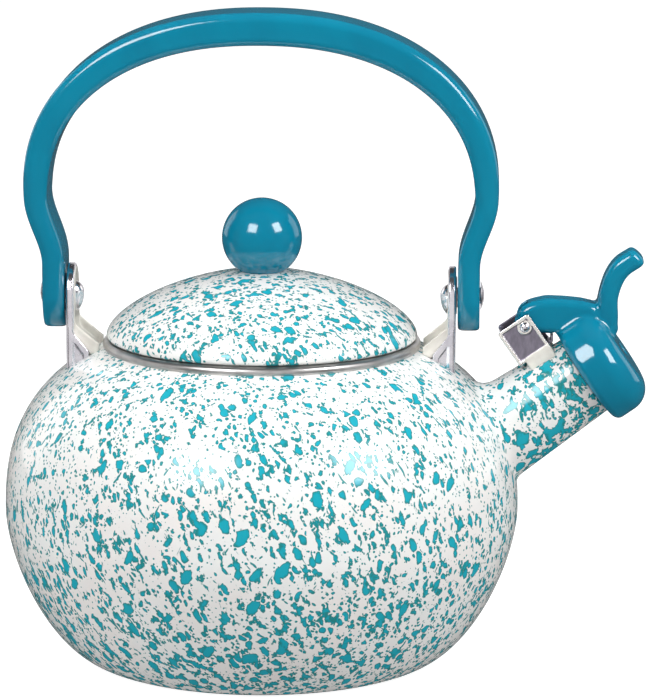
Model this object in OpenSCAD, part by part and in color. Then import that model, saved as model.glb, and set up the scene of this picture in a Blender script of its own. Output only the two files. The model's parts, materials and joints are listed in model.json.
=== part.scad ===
// Stovetop whistling kettle: enamelled steel body, lift-off lid, folding bail
// handle and a sprung whistle cap on the spout.
// Millimetres. Origin: centre of the base on the body's axis. +Z is up, +X runs
// towards the spout, and the bail folds about an axis along X.

/* [Body] */
// Largest diameter of the body
body_d = 193.5; // [170:0.5:235]
// Height of the largest diameter above the base
belly_z = 56.2; // [45:0.1:70]
// Diameter of the flat base
base_d = 128; // [105:1:155]
// Height at which the shoulder turns up into the mouth
mouth_z = 118.2; // [98:0.1:142]
// Outside diameter of the upright lip round the mouth
mouth_d = 116.8; // [97:0.2:140]
// Height of that lip
lip_h = 1.4; // [1:0.1:3]
// Thickness of the enamelled steel
body_wall = 1.2; // [0.8:0.1:2]
// Fullness of the curve under the belly (2 is an ellipse)
low_curve = 1.57; // [1.3:0.01:2.2]
// Fullness of the curve over the belly (2 is an ellipse)
high_curve = 2.5; // [2:0.01:3]

/* [Rim ring and lid] */
// Radius of the rolled bead round the mouth
bead_r = 1.9; // [1.5:0.1:2.6]
// Depth of the rim ring's skirt inside the mouth
skirt_h = 6; // [4:0.5:10]
// Thickness of the skirt
skirt_t = 1; // [0.6:0.1:1.5]
// Gap between the closed lid and the rim ring
lid_gap = 0.3; // [0.3:0.05:0.8]
// Radial gap between the lid's collar and the skirt
collar_gap = 0.5; // [0.3:0.1:1.2]
// Distance from the lid's edge in to the bead's outer edge
lid_inset = 1.4; // [0.2:0.1:2]
// Rise of the dome over its rolled edge
lid_rise = 24.6; // [18:0.1:32]
// Fullness of the dome (2 is an ellipse)
lid_curve = 1.6; // [1.4:0.01:2.2]
// Thickness of the lid
lid_wall = 1; // [0.8:0.1:1.6]
// Radius of the lid's rolled edge
lid_roll_r = 1.3; // [1:0.1:1.8]
// Depth of the collar below the lid's edge
collar_h = 9; // [6:0.5:14]
// Thickness of the collar
collar_t = 0.8; // [0.6:0.1:1.2]
// Width of the collar's welded flange
collar_flange = 5; // [3:0.5:8]

/* [Knob] */
// Diameter of the ball knob
knob_d = 30; // [25:0.5:38]
// Height of the ball's centre above its flat foot
knob_centre = 12.5; // [10:0.1:14]
// Screw size under the lid
screw_d = 4; // [3:0.5:5]
// Outside diameter of the threaded insert
insert_d = 7; // [6:0.5:9]
// Length of the threaded insert
insert_h = 10; // [7:0.5:14]
// Diameter of the washer under the lid
lid_washer_d = 14; // [10:0.5:18]
// Thickness of the washer
lid_washer_t = 1; // [0.6:0.1:1.6]

/* [Handle] */
// Distance from the mouth's lip out to the brackets' outer faces
strap_run = 14.3; // [12:0.1:18]
// Height of the pivots above the shoulder under them
pivot_rise = 27.4; // [24:0.1:32]
// Gap between each bracket and the handle's arm
arm_gap = 0.7; // [0.6:0.05:1.2]
// Thickness of the handle's arms
arm_t = 8.2; // [7:0.1:11]
// Depth of the handle from front to back
handle_depth = 26.5; // [24:0.5:34]
// Height of the straight arms above the pivots
arm_rise = 12; // [8:0.5:20]
// Height of the bend between the arms and the arch
bend_rise = 26; // [18:0.5:36]
// How far the arch stands out past the arms on each side
bend_out = 6.4; // [3:0.1:12]
// Height of the arch above the bends
arch_rise = 62.3; // [50:0.1:80]
// Squareness of the arch (2 is an ellipse)
arch_curve = 2.12; // [2:0.01:2.6]
// Thickness of the arch at its sides
arch_side_t = 8.7; // [7:0.1:12]
// Thickness of the arch at the top
arch_top_t = 12.2; // [9:0.1:16]
// Radius of the handle's long edges
handle_edge = 3.5; // [2:0.1:4]

/* [Pivots] */
// Diameter of the rivets that the handle turns on
rivet_d = 6; // [4:0.5:8]
// Radial running clearance of the rivets in their bushings
running_gap = 0.05; // [0.02:0.01:0.09]
// Outside diameter of the bushings
bush_d = 10; // [9:0.5:13]
// Diameter of the rivets' flat outer heads
rivet_head_d = 11; // [10:0.5:15]
// Thickness of those heads
rivet_head_t = 1.4; // [1:0.1:2.5]
// Gap between a rivet's outer head and the arm
head_gap = 0.3; // [0.3:0.05:0.6]
// Diameter of the rivets' domed inner heads
dome_d = 8.4; // [7.5:0.1:12]
// Height of the domed heads
dome_h = 3.4; // [2:0.1:4]
// Gap between the pivots' thin washers and the arm
washer_gap = 0.35; // [0.3:0.05:0.4]
// Diameter of those washers
washer_d = 14; // [10:0.5:18]

/* [Brackets] */
// Thickness of the bright steel sheet
sheet_t = 1.2; // [0.8:0.1:1.6]
// Width of a bracket from front to back
bracket_w = 22; // [19:0.5:24]
// Depth of a bracket's folded edge
bracket_fold = 2.9; // [2.2:0.1:4]
// How far the gussets run in from a bracket's outer face
gusset_run = 8.4; // [6:0.1:10]
// Height of the gussets' corner above the shoulder at the outer face
gusset_rise = 13.4; // [10:0.1:16]
// Thickness of the enamelled lugs
lug_t = 1.9; // [1.4:0.1:2.4]
// Side gap between a lug and its bracket
lug_gap = 0.1; // [0:0.05:0.3]
// Height of a lug's side flanges, measured upright
lug_flange_h = 4.8; // [3:0.1:9]
// Slope of a lug's strap down to the shoulder, in degrees
lug_slope = 40; // [30:1:48]

/* [Spout] */
// Angle of the spout above the horizontal
spout_angle = 35; // [28:1:42]
// Height at which the spout's axis crosses the body's axis
spout_root_z = 23.1; // [15:0.1:35]
// Length of the spout's axis outside the body
spout_reach = 36.2; // [32:0.1:50]
// Outside diameter of the spout's mouth
spout_d = 31.6; // [27:0.1:38]
// Growth of the spout's radius for each millimetre towards the body
spout_taper = 0.05; // [0:0.01:0.12]
// Extra radius of the welded flare at the root
flare_r = 0.7; // [0:0.1:3]
// Length of that flare
flare_l = 9; // [4:0.5:14]

/* [Whistle cap] */
// How far the cap stands out past the spout's mouth
cap_over = 5.2; // [4:0.1:7]
// Thickness of the cap along the spout
cap_t = 17.1; // [15:0.1:22]
// Gap between the closed cap and the spout's mouth
cap_gap = 0.3; // [0.3:0.05:0.8]
// Radial gap between the whistle cup and the spout's bore
cup_gap = 2.1; // [1:0.1:3]
// How far the cup is pressed into the cap
cup_in = 9.4; // [7:0.1:10.5]
// Depth of the empty chamber in front of the cup
chamber_h = 3; // [1:0.1:4]
// Thickness of the whistle's metal
cup_t = 0.8; // [0.5:0.1:1.2]
// How far the cup plugs into the spout
plug_h = 2.5; // [1:0.1:3]
// Diameter of the whistle's holes
whistle_hole_d = 4.2; // [3:0.1:6]
// Distance between the whistle's two plates
whistle_gap = 5; // [3:0.1:7]
// Diameter of the steam vent through the cap's front
vent_d = 5; // [4:0.1:8]
// Side gap between the cap's arm and the clip's cheeks
arm_side_gap = 0.4; // [0.3:0.05:0.8]

/* [Cap hinge] */
// Distance of the hinge pin behind the spout's mouth
pin_back = 7.7; // [6:0.1:10]
// Height of the hinge pin above the spout's wall
pin_rise = 13; // [12:0.1:15]
// Diameter of the hinge pin
pin_d = 2.4; // [2:0.1:3]
// Width of the hinge clip over its cheeks
clip_w = 15.6; // [14.5:0.1:19]
// Length of the clip along the spout
clip_l = 13.5; // [12:0.1:16]
// How far the clip runs on in front of its pin
clip_fore = 3.8; // [3:0.1:4.5]
// Height of the clip's floor over the spout's wall
clip_lift = 2.9; // [2.4:0.1:4]
// Height of the clip's cheeks above the pin
clip_over = 3.7; // [3:0.1:5]
// Length of the enamelled saddle along the spout
saddle_l = 10.8; // [8:0.1:11.5]
// Thickness of the clip's sheet
clip_t = 1; // [0.8:0.1:1.3]
// Thickness of the enamelled saddle's side walls
saddle_t = 1; // [0.8:0.1:2]
// Diameter of the spring's wire
spring_wire = 0.8; // [0.5:0.1:1]
// Number of turns in the spring
spring_turns = 5; // [3:1:6]

/* [Hidden] */
$fn = 72;

TEAL = [0.09, 0.53, 0.65];
ENAMEL = [0.93, 0.94, 0.93];
SPECKLED = [0.62, 0.84, 0.87];
STEEL = [0.75, 0.75, 0.77];
BRASS = [0.80, 0.66, 0.36];

// Slack that lets a cut run clean through a face
cut = 1;
// Length that is longer than any part
far = 400;
// Share of a circle's radius at which a linking band meets it
band_share = 0.98;

// Body
body_r = body_d / 2;
base_r = base_d / 2;
mouth_r = mouth_d / 2;
lip_z = mouth_z + lip_h;
// Full height that the upper curve would reach on the axis
high_h = (mouth_z - belly_z) / pow(1 - pow(mouth_r / body_r, high_curve), 1 / high_curve);
// Parameter of the upper curve at the mouth, in degrees
mouth_t = acos(pow(mouth_r / body_r, high_curve / 2));
low_steps = 12;
high_steps = 16;

// Rim ring and lid
bead_c = mouth_r - body_wall / 2;
bead_drop = 0.5;
bead_z = lip_z - bead_drop;
bead_top = bead_z + bead_r;
skirt_r = mouth_r - body_wall;
collar_r = skirt_r - skirt_t - collar_gap;
lid_r = bead_c + bead_r - lid_inset;
lid_low = bead_top + lid_gap;
lid_edge_z = lid_low + lid_roll_r;
knob_r = knob_d / 2;
foot_r = sqrt(knob_r * knob_r - knob_centre * knob_centre);
// Width of the flat land round the knob's foot
land_edge = 0.8;
land_r = foot_r + land_edge;
land_z = lid_edge_z + lid_rise * pow(1 - pow(land_r / lid_r, lid_curve), 1 / lid_curve);
land_t = acos(pow(land_r / lid_r, lid_curve / 2));
lid_steps = 18;
screw_slack = 0.2;
// Thread left free beyond the screw's tip
screw_short = 2;

// Handle and brackets
ear_r = bracket_w / 2;
plate_x = mouth_r + strap_run;
plate_in = plate_x - sheet_t;
shoulder_z = upper_z(plate_x);
pivot_z = shoulder_z + pivot_rise;
arm_in = plate_x + arm_gap;
arm_x = arm_in + arm_t / 2;
arm_out = arm_in + arm_t;
arm_end_r = handle_depth / 2;
bend_z = pivot_z + arm_rise;
arch_z = bend_z + bend_rise;
arch_a = arm_x + bend_out;
bush_in = rivet_d / 2 + running_gap;
washer_t = arm_gap - washer_gap;
// Rounding of the arms' lower ends
end_round = 2.4;
// Lift of the gussets' inner corner over the shoulder
gusset_lift = 1.6;
// Drop of the lug's strap below the gussets' corner
strap_drop = 1.4;
// Gap between the lug's inner end and the rim's bead
lug_end_gap = 0.2;

// Spout frame: its origin is the centre of the spout's mouth, X runs out along
// the axis and Z is square to it, in the kettle's plane of symmetry
root_u = axis_hit(0, body_r * 2);
mouth_u = root_u + spout_reach;
spout_r = spout_d / 2;
bore_r = spout_r - body_wall;
// How far the spout's solid runs on into the body, which cuts it off
root_in = 16;
pin_z = spout_r + pin_rise;
pin_x = -pin_back;

// Whistle cap
cap_r = spout_r + cap_over;
cap_front = cap_gap + cap_t;
cup_r = bore_r - cup_gap;
cup_back = -plug_h;
cup_front = cap_gap + cup_in;
cup_flange = 0.6;
cup_flange_r = bore_r + cup_flange;
// Roundings of the cap's front and rear edges
front_edge = 9;
rear_edge = 3.7;
rear_step = 2;
// Block that joins the thumb lever's foot to the cap's front face
foot_out = 2.6;
foot_drop = 13;
foot_h = 6;

// Radius of the body's outside at height z above the belly
function upper_r(z) = body_r * pow(1 - pow((z - belly_z) / high_h, high_curve), 1 / high_curve);
// Height of the shoulder at radius r
function upper_z(r) = belly_z + high_h * pow(1 - pow(r / body_r, high_curve), 1 / high_curve);
// Distance from the body's axis and height of a point u along the spout's axis
function axis_x(u) = u * cos(spout_angle);
function axis_z(u) = spout_root_z + u * sin(spout_angle);
function is_inside(u) = axis_x(u) < upper_r(min(axis_z(u), belly_z + high_h * 0.99));
// Point where the spout's axis leaves the body, by bisection
function axis_hit(a, b, n = 24) =
    n == 0 ? a : is_inside((a + b) / 2) ? axis_hit((a + b) / 2, b, n - 1) : axis_hit(a, (a + b) / 2, n - 1);

// Outline of the body from the edge of the base to the mouth, as [radius, height]
function low_point(t) = [
    base_r + (body_r - base_r) * pow(sin(t), 2 / low_curve),
    belly_z * (1 - pow(cos(t), 2 / low_curve))
];
function high_point(t) = [
    body_r * pow(cos(t), 2 / high_curve),
    belly_z + high_h * pow(sin(t), 2 / high_curve)
];
function body_line() = concat(
    [for (i = [0 : low_steps - 1]) low_point(90 * i / low_steps)],
    [for (i = [0 : high_steps]) high_point(mouth_t * i / high_steps)]
);
// Outline of the lid's dome from its edge to the land under the knob
function lid_point(t) = [
    lid_r * pow(cos(t), 2 / lid_curve),
    lid_edge_z + lid_rise * pow(sin(t), 2 / lid_curve)
];
function lid_line() = [for (i = [0 : lid_steps]) lid_point(land_t * i / lid_steps)];

// A line moved d to its left, point by point along its own normals
function along(p, i) = p[min(i + 1, len(p) - 1)] - p[max(i - 1, 0)];
function inset(p, d) = [
    for (i = [0 : len(p) - 1])
        let (v = along(p, i), n = [-v[1], v[0]] / norm(v)) p[i] + n * d
];
function reversed(p) = [for (i = [len(p) - 1 : -1 : 0]) p[i]];

// Half of the handle's centre line, from the arm's end up to the top of the
// arch: [x, z, half of the depth, thickness]
end_steps = 6;
bend_steps = 7;
arch_steps = 14;
function end_cut(d) = d >= end_round ? 0 : end_round - sqrt(end_round * end_round - pow(end_round - d, 2));
function end_row(a) = [
    arm_x,
    pivot_z - arm_end_r * sin(a),
    arm_end_r * cos(a),
    arm_t - 2 * end_cut(arm_end_r * (1 - sin(a)))
];
function bend_row(k) = [
    arm_x + bend_out * (1 - cos(180 * k)) / 2,
    bend_z + bend_rise * k,
    arm_end_r,
    arm_t + (arch_side_t - arm_t) * k
];
function arch_row(a) = [
    arch_a * pow(max(cos(a), 0), 2 / arch_curve),
    arch_z + arch_rise * pow(sin(a), 2 / arch_curve),
    arm_end_r,
    arch_side_t + (arch_top_t - arch_side_t) * pow(sin(a), 1.3)
];
half_rows = concat(
    [for (i = [0 : end_steps]) end_row(86 * (1 - i / end_steps))],
    [for (i = [0 : bend_steps - 1]) bend_row(i / bend_steps)],
    [for (i = [0 : arch_steps]) arch_row(90 * i / arch_steps)]
);
all_rows = concat(
    half_rows,
    [for (i = [len(half_rows) - 2 : -1 : 0]) [for (j = [0 : 3]) (j == 0 ? -1 : 1) * half_rows[i][j]]]
);

// Rounded rectangle round the origin with half sizes a and b, as a list of points
corner_steps = 2;
function rounded(a, b, r) = [
    for (q = [0 : 3], i = [0 : corner_steps])
        let (t = 90 * q + 90 * i / corner_steps, sx = q == 0 || q == 3 ? 1 : -1, sy = q < 2 ? 1 : -1)
            [sx * (a - r) + r * cos(t), sy * (b - r) + r * sin(t)]
];
// One ring of the handle: the section stands square to the centre line
function handle_ring(i) =
    let (
        a = all_rows[max(i - 1, 0)],
        b = all_rows[min(i + 1, len(all_rows) - 1)],
        row = all_rows[i],
        v = [b[0] - a[0], b[1] - a[1]],
        n = [v[1], -v[0]] / norm(v),
        r = min(handle_edge, row[2] * 0.7, row[3] * 0.45)
    )
    [for (p = rounded(row[3] / 2, row[2], r)) [row[0] + n[0] * p[0], -p[1], row[1] + n[1] * p[0]]];

// A closed tube through a list of rings with equal numbers of points
module tube_through(rings) {
    m = len(rings[0]);
    k = len(rings);
    points = [for (ring = rings, p = ring) p];
    sides = [
        for (i = [0 : k - 2], j = [0 : m - 1])
            [i * m + j, i * m + (j + 1) % m, (i + 1) * m + (j + 1) % m, (i + 1) * m + j]
    ];
    first_end = [for (j = [m - 1 : -1 : 0]) j];
    last_end = [for (j = [0 : m - 1]) (k - 1) * m + j];
    polyhedron(points, concat(sides, [first_end, last_end]), convexity = 6);
}

// Turns a shape drawn in the YZ plane into a plate from x = x0 to x0 + t
module plate_x(x0, t) {
    translate([x0, 0, 0]) rotate([90, 0, 90]) linear_extrude(t) children();
}

// Turns a shape drawn in the XZ plane into a plate from y = y0 to y0 + t
module plate_y(y0, t) {
    translate([0, y0 + t, 0]) rotate([90, 0, 0]) linear_extrude(t) children();
}

// A round bar or hole along X, centred on the handle's pivot
module pivot_bar(r, x0, x1) {
    translate([x0, 0, pivot_z]) rotate([0, 90, 0]) cylinder(r = r, h = x1 - x0);
}

// Puts its children in the spout's frame
module on_spout() {
    translate([axis_x(mouth_u), 0, axis_z(mouth_u)]) rotate([0, -spout_angle, 0]) children();
}

// Turns a profile of [radius, distance along the spout] about the spout's axis
module spun_on_spout() {
    rotate([0, 90, 0]) rotate_extrude() children();
}

// Half of a rivet's domed head, standing on the XY plane
module dome(r, h) {
    ball_r = (r * r + h * h) / (2 * h);
    intersection() {
        translate([0, 0, h - ball_r]) sphere(ball_r);
        cylinder(r = r + cut, h = h + cut);
    }
}

// Two circles of [x, y, radius] and a straight band between them, a little
// narrower than the circles so that it crosses them instead of just touching
module link(a, b) {
    ra = a[2] * band_share;
    rb = b[2] * band_share;
    d = norm([b[0] - a[0], b[1] - a[1]]);
    dir = atan2(b[1] - a[1], b[0] - a[0]);
    t = acos((ra - rb) / d);
    translate([a[0], a[1]]) circle(a[2]);
    translate([b[0], b[1]]) circle(b[2]);
    polygon([
        [a[0] + ra * cos(dir + t), a[1] + ra * sin(dir + t)],
        [a[0] + ra * cos(dir - t), a[1] + ra * sin(dir - t)],
        [b[0] + rb * cos(dir - t), b[1] + rb * sin(dir - t)],
        [b[0] + rb * cos(dir + t), b[1] + rb * sin(dir + t)]
    ]);
}

// Outside of the body without its hollow, as a half section
module body_section() {
    polygon(concat([[0, 0]], body_line(), [[mouth_r, lip_z], [0, lip_z]]));
}

module body_solid() {
    rotate_extrude() body_section();
}

// Outside of the spout without its bore, with its welded flare
module spout_solid() {
    back = -(spout_reach + root_in);
    near = -(spout_reach - flare_l);
    spun_on_spout() polygon([
        [0, back],
        [spout_r - spout_taper * back + flare_r, back],
        [spout_r + spout_taper * spout_reach + flare_r, -spout_reach],
        [spout_r + spout_taper * (spout_reach - flare_l / 2) + flare_r * 0.35, near - flare_l / 2],
        [spout_r - spout_taper * near, near],
        [spout_r, 0],
        [0, 0]
    ]);
}

// Hollow of the spout, running on through the body's wall
module spout_bore() {
    back = -(spout_reach + root_in + cut);
    spun_on_spout() polygon([
        [0, back],
        [bore_r - spout_taper * back, back],
        [bore_r - spout_taper * cut, cut],
        [0, cut]
    ]);
}

module body_shell() {
    color(SPECKLED) difference() {
        rotate_extrude() polygon(concat(
            [[0, 0]],
            body_line(),
            [[mouth_r, lip_z], [skirt_r, lip_z], [skirt_r, mouth_z - body_wall]],
            reversed(inset(body_line(), body_wall)),
            [[base_r - body_wall, body_wall], [0, body_wall]]
        ));
        on_spout() spout_bore();
    }
}

// Bright bead that wraps the lip, with a skirt inside the mouth
module rim_ring() {
    color(STEEL) rotate_extrude() {
        difference() {
            translate([bead_c, bead_z]) circle(bead_r);
            body_section();
        }
        translate([skirt_r - skirt_t, mouth_z - skirt_h])
            square([skirt_t, bead_z + skirt_t - mouth_z + skirt_h]);
    }
}

module spout() {
    color(SPECKLED) difference() {
        on_spout() spout_solid();
        on_spout() spout_bore();
        body_solid();
    }
}

// Outline of a bracket's face, seen along the pivot
module ear_outline(r) {
    translate([0, pivot_z]) circle(r);
    translate([-r, shoulder_z - bracket_w]) square([2 * r, pivot_rise + bracket_w]);
}

// Bright steel bracket that the handle swings on, on the spout's side
module bracket() {
    gusset_z = shoulder_z + gusset_rise;
    inner_x = plate_x - gusset_run;
    inner_z = upper_z(inner_x) + gusset_lift;
    color(STEEL) difference() {
        union() {
            difference() {
                plate_x(plate_x - bracket_fold, bracket_fold) ear_outline(ear_r);
                plate_x(plate_x - bracket_fold - cut, bracket_fold - sheet_t + cut)
                    ear_outline(ear_r - sheet_t);
            }
            for (y = [-ear_r, ear_r - sheet_t])
                plate_y(y, sheet_t) polygon([
                    [plate_in, gusset_z],
                    [inner_x, inner_z],
                    [inner_x, shoulder_z - bracket_fold],
                    [plate_in, shoulder_z - bracket_fold]
                ]);
        }
        pivot_bar(rivet_d / 2, plate_x - bracket_fold - cut, plate_x + cut);
        body_solid();
    }
}

// Enamelled lug welded to the shoulder: a sloping channel that turns up inside
// the bracket
module lug() {
    half = ear_r - sheet_t - lug_gap;
    foot_x = mouth_r + bead_r + lug_end_gap;
    back_x = plate_in - lug_t;
    strap_z = shoulder_z + gusset_rise - strap_drop;
    drop = (plate_in - foot_x) * tan(lug_slope);
    web_h = lug_t / cos(lug_slope);
    color(ENAMEL) difference() {
        union() {
            plate_x(back_x, lug_t) intersection() {
                ear_outline(half);
                translate([-half, strap_z]) square([2 * half, far]);
            }
            plate_y(-half, 2 * half) polygon([
                [plate_in, strap_z],
                [foot_x, strap_z - drop],
                [foot_x, strap_z - drop + web_h],
                [plate_in, strap_z + web_h]
            ]);
            for (y = [-half, half - sheet_t])
                plate_y(y, sheet_t) polygon([
                    [plate_in, strap_z],
                    [foot_x, strap_z - drop],
                    [foot_x, strap_z - drop + lug_flange_h + gusset_lift],
                    [back_x, strap_z + lug_flange_h],
                    [plate_in, strap_z + lug_flange_h]
                ]);
        }
        pivot_bar(rivet_d / 2, back_x - cut, plate_in + cut);
        body_solid();
    }
}

module pivot_rivet() {
    head_x = arm_out + head_gap;
    inner_x = plate_in - lug_t;
    color(STEEL) union() {
        pivot_bar(rivet_d / 2, inner_x, head_x);
        pivot_bar(rivet_head_d / 2, head_x, head_x + rivet_head_t);
        translate([inner_x, 0, pivot_z]) rotate([0, -90, 0]) dome(dome_d / 2, dome_h);
    }
}

module pivot_washer() {
    color(STEEL) difference() {
        pivot_bar(washer_d / 2, plate_x, plate_x + washer_t);
        pivot_bar(rivet_d / 2, plate_x - cut, plate_x + washer_t + cut);
    }
}

module handle_bail() {
    color(TEAL) difference() {
        tube_through([for (i = [0 : len(all_rows) - 1]) handle_ring(i)]);
        for (s = [-1, 1])
            pivot_bar(bush_d / 2, s * arm_x - arm_t, s * arm_x + arm_t);
    }
}

module handle_bushing() {
    color(STEEL) difference() {
        pivot_bar(bush_d / 2, arm_in, arm_out);
        pivot_bar(bush_in, arm_in - cut, arm_out + cut);
    }
}

// Inside of the lid moved in by d, as a half section down to the collar's end
module lid_section(d) {
    line = inset(lid_line(), d);
    polygon(concat(
        [[0, lid_low - collar_h], [lid_r - d, lid_low - collar_h]],
        line,
        [[0, line[len(line) - 1][1]]]
    ));
}

module lid_shell() {
    inner = inset(lid_line(), lid_wall);
    hole = screw_d / 2 + screw_slack;
    color(SPECKLED) rotate_extrude() {
        polygon(concat(
            lid_line(),
            [[hole, land_z], [hole, land_z - lid_wall]],
            [[inner[len(inner) - 1][0], land_z - lid_wall]],
            reversed(inner)
        ));
        translate([lid_r - lid_roll_r, lid_edge_z]) circle(lid_roll_r);
    }
}

module lid_collar() {
    color(STEEL) rotate_extrude() intersection() {
        lid_section(lid_wall);
        union() {
            translate([collar_r - collar_t, 0]) square([collar_t, far]);
            difference() {
                translate([collar_r - collar_flange, lid_edge_z]) square([collar_flange, far]);
                lid_section(lid_wall + collar_t);
            }
        }
    }
}

module lid_knob() {
    color(TEAL) difference() {
        intersection() {
            translate([0, 0, land_z + knob_centre]) sphere(knob_r);
            translate([0, 0, land_z]) cylinder(r = knob_d, h = 2 * knob_d);
        }
        translate([0, 0, land_z - cut]) cylinder(d = insert_d, h = insert_h + cut);
    }
}

module knob_insert() {
    color(BRASS) difference() {
        translate([0, 0, land_z]) cylinder(d = insert_d, h = insert_h);
        translate([0, 0, land_z - cut]) cylinder(d = screw_d, h = insert_h + 2 * cut);
    }
}

module knob_screw() {
    under = land_z - lid_wall - lid_washer_t;
    color(STEEL) union() {
        translate([0, 0, under]) cylinder(d = screw_d, h = lid_wall + lid_washer_t + insert_h - screw_short);
        translate([0, 0, under]) rotate([180, 0, 0]) dome(screw_d * 0.95, screw_d * 0.6);
    }
}

module knob_washer() {
    under = land_z - lid_wall - lid_washer_t;
    color(STEEL) difference() {
        translate([0, 0, under]) cylinder(d = lid_washer_d, h = lid_washer_t);
        translate([0, 0, under - cut]) cylinder(d = screw_d + screw_slack, h = lid_washer_t + 2 * cut);
    }
}

// Sizes of the hinge, all in the spout's frame
hub_wall = 2.4;
hub_r = pin_d / 2 + hub_wall;
clip_front = pin_x + clip_fore;
clip_back = clip_front - clip_l;
clip_floor = spout_r + clip_lift;
clip_top = pin_z + clip_over;
cheek_y = clip_w / 2;
arm_w = clip_w - 2 * clip_t - 2 * arm_side_gap;
saddle_lip = 0.4;
arm_clear = 1.9;
tongue_w = 7;
tongue_out = 3;
tongue_h = 1.6;
pin_head_r = pin_d * 0.8;
pin_head_h = pin_d * 0.45;

// A round bar or hole centred on the hinge pin
module across(r, length) {
    translate([pin_x, -length / 2, pin_z]) rotate([-90, 0, 0]) cylinder(r = r, h = length);
}

// Enamelled saddle welded on the spout, which holds the clip between its walls
module hinge_saddle() {
    y = cheek_y + saddle_t;
    color(ENAMEL) on_spout() difference() {
        translate([clip_front - saddle_l, -y, 0]) cube([saddle_l, 2 * y, clip_floor + saddle_lip]);
        translate([clip_back - cut, -cheek_y, clip_floor - clip_t]) cube([clip_l + 2 * cut, clip_w, far]);
        spout_solid();
    }
}

// Bright clip: a floor, a back and two cheeks, with an upturned tongue in front
module hinge_clip() {
    floor_z = clip_floor - clip_t;
    color(STEEL) on_spout() difference() {
        union() {
            translate([clip_back, -cheek_y, floor_z]) cube([clip_l, clip_w, clip_t]);
            translate([clip_back, -cheek_y, floor_z]) cube([clip_t, clip_w, clip_top - floor_z - clip_t]);
            for (y = [-cheek_y, cheek_y - clip_t])
                plate_y(y, clip_t) {
                    translate([clip_back, floor_z]) square([clip_l, clip_top - floor_z - cut]);
                    translate([clip_back + cut, floor_z]) square([clip_l - 2 * cut, clip_top - floor_z]);
                    translate([clip_back + cut, clip_top - cut]) circle(cut);
                    translate([clip_front - cut, clip_top - cut]) circle(cut);
                }
            plate_y(-tongue_w / 2, tongue_w) polygon([
                [clip_front - cut, floor_z],
                [clip_front + tongue_out / 2, floor_z],
                [clip_front + tongue_out, clip_floor + tongue_h * 0.75],
                [clip_front + tongue_out - clip_t, clip_floor + tongue_h],
                [clip_front + clip_t, clip_floor],
                [clip_front - cut, clip_floor]
            ]);
        }
        across(pin_d / 2, clip_w + 2 * cut);
    }
}

module hinge_pin() {
    color(STEEL) on_spout() union() {
        across(pin_d / 2, clip_w);
        translate([pin_x, -cheek_y, pin_z]) rotate([90, 0, 0]) dome(pin_head_r, pin_head_h);
        translate([pin_x, cheek_y, pin_z]) rotate([-90, 0, 0]) dome(pin_head_r, pin_head_h);
    }
}

// Torsion spring round the hinge pin: a coil with two straight legs
spring_slack = 0.6;
spring_r = pin_d / 2 + spring_wire / 2 + spring_slack;
spring_pitch = spring_wire * 1.15;
spring_half = spring_turns * spring_pitch / 2;
spring_leg = 4.6;
leg_angle = -65;
// Slot in the cap's arm round the spring
slot_clear = 0.4;
slot_deep = 1.4;
ring_steps = 12;
wire_sides = 6;
function coil_point(a) = [
    pin_x + spring_r * cos(a + leg_angle),
    -spring_half + spring_pitch * a / 360,
    pin_z + spring_r * sin(a + leg_angle)
];
function leg_start(a, s) = coil_point(a) + s * spring_leg * [-sin(a + leg_angle), 0, cos(a + leg_angle)];
coil_line = concat(
    [leg_start(0, -1)],
    [for (i = [0 : spring_turns * ring_steps]) coil_point(360 * i / ring_steps)],
    [leg_start(360 * spring_turns, 1)]
);
function wire_ring(i) =
    let (
        v = along(coil_line, i),
        side = cross(v, [0, 1, 0]) / norm(cross(v, [0, 1, 0])),
        up = cross(side, v) / norm(v)
    )
    [
        for (j = [0 : wire_sides - 1])
            let (t = -360 * j / wire_sides) coil_line[i] + spring_wire / 2 * (cos(t) * side + sin(t) * up)
    ];

module cap_spring() {
    color(STEEL) on_spout() tube_through([for (i = [0 : len(coil_line) - 1]) wire_ring(i)]);
}

// Outline of the cap's arm and thumb lever: circles of [x, z, radius] whose
// neighbours are linked
lever_line = [
    [pin_x + 3.7, pin_z + 3.1, 3.4],
    [pin_x + 9.2, pin_z - 1.8, 6.4],
    [pin_x + 16.9, cap_r + 0.3, 6.3],
    [cap_front + 2.1, cap_r - 7.7, 4.1],
    [cap_front + 6.5, cap_r - 1.1, 3.7],
    [cap_front + 12.1, cap_r + 3.4, 3.7],
    [cap_front + 16.8, cap_r + 5.3, 3.9],
    [cap_front + 22.4, cap_r + 5.4, 3.7]
];

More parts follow.
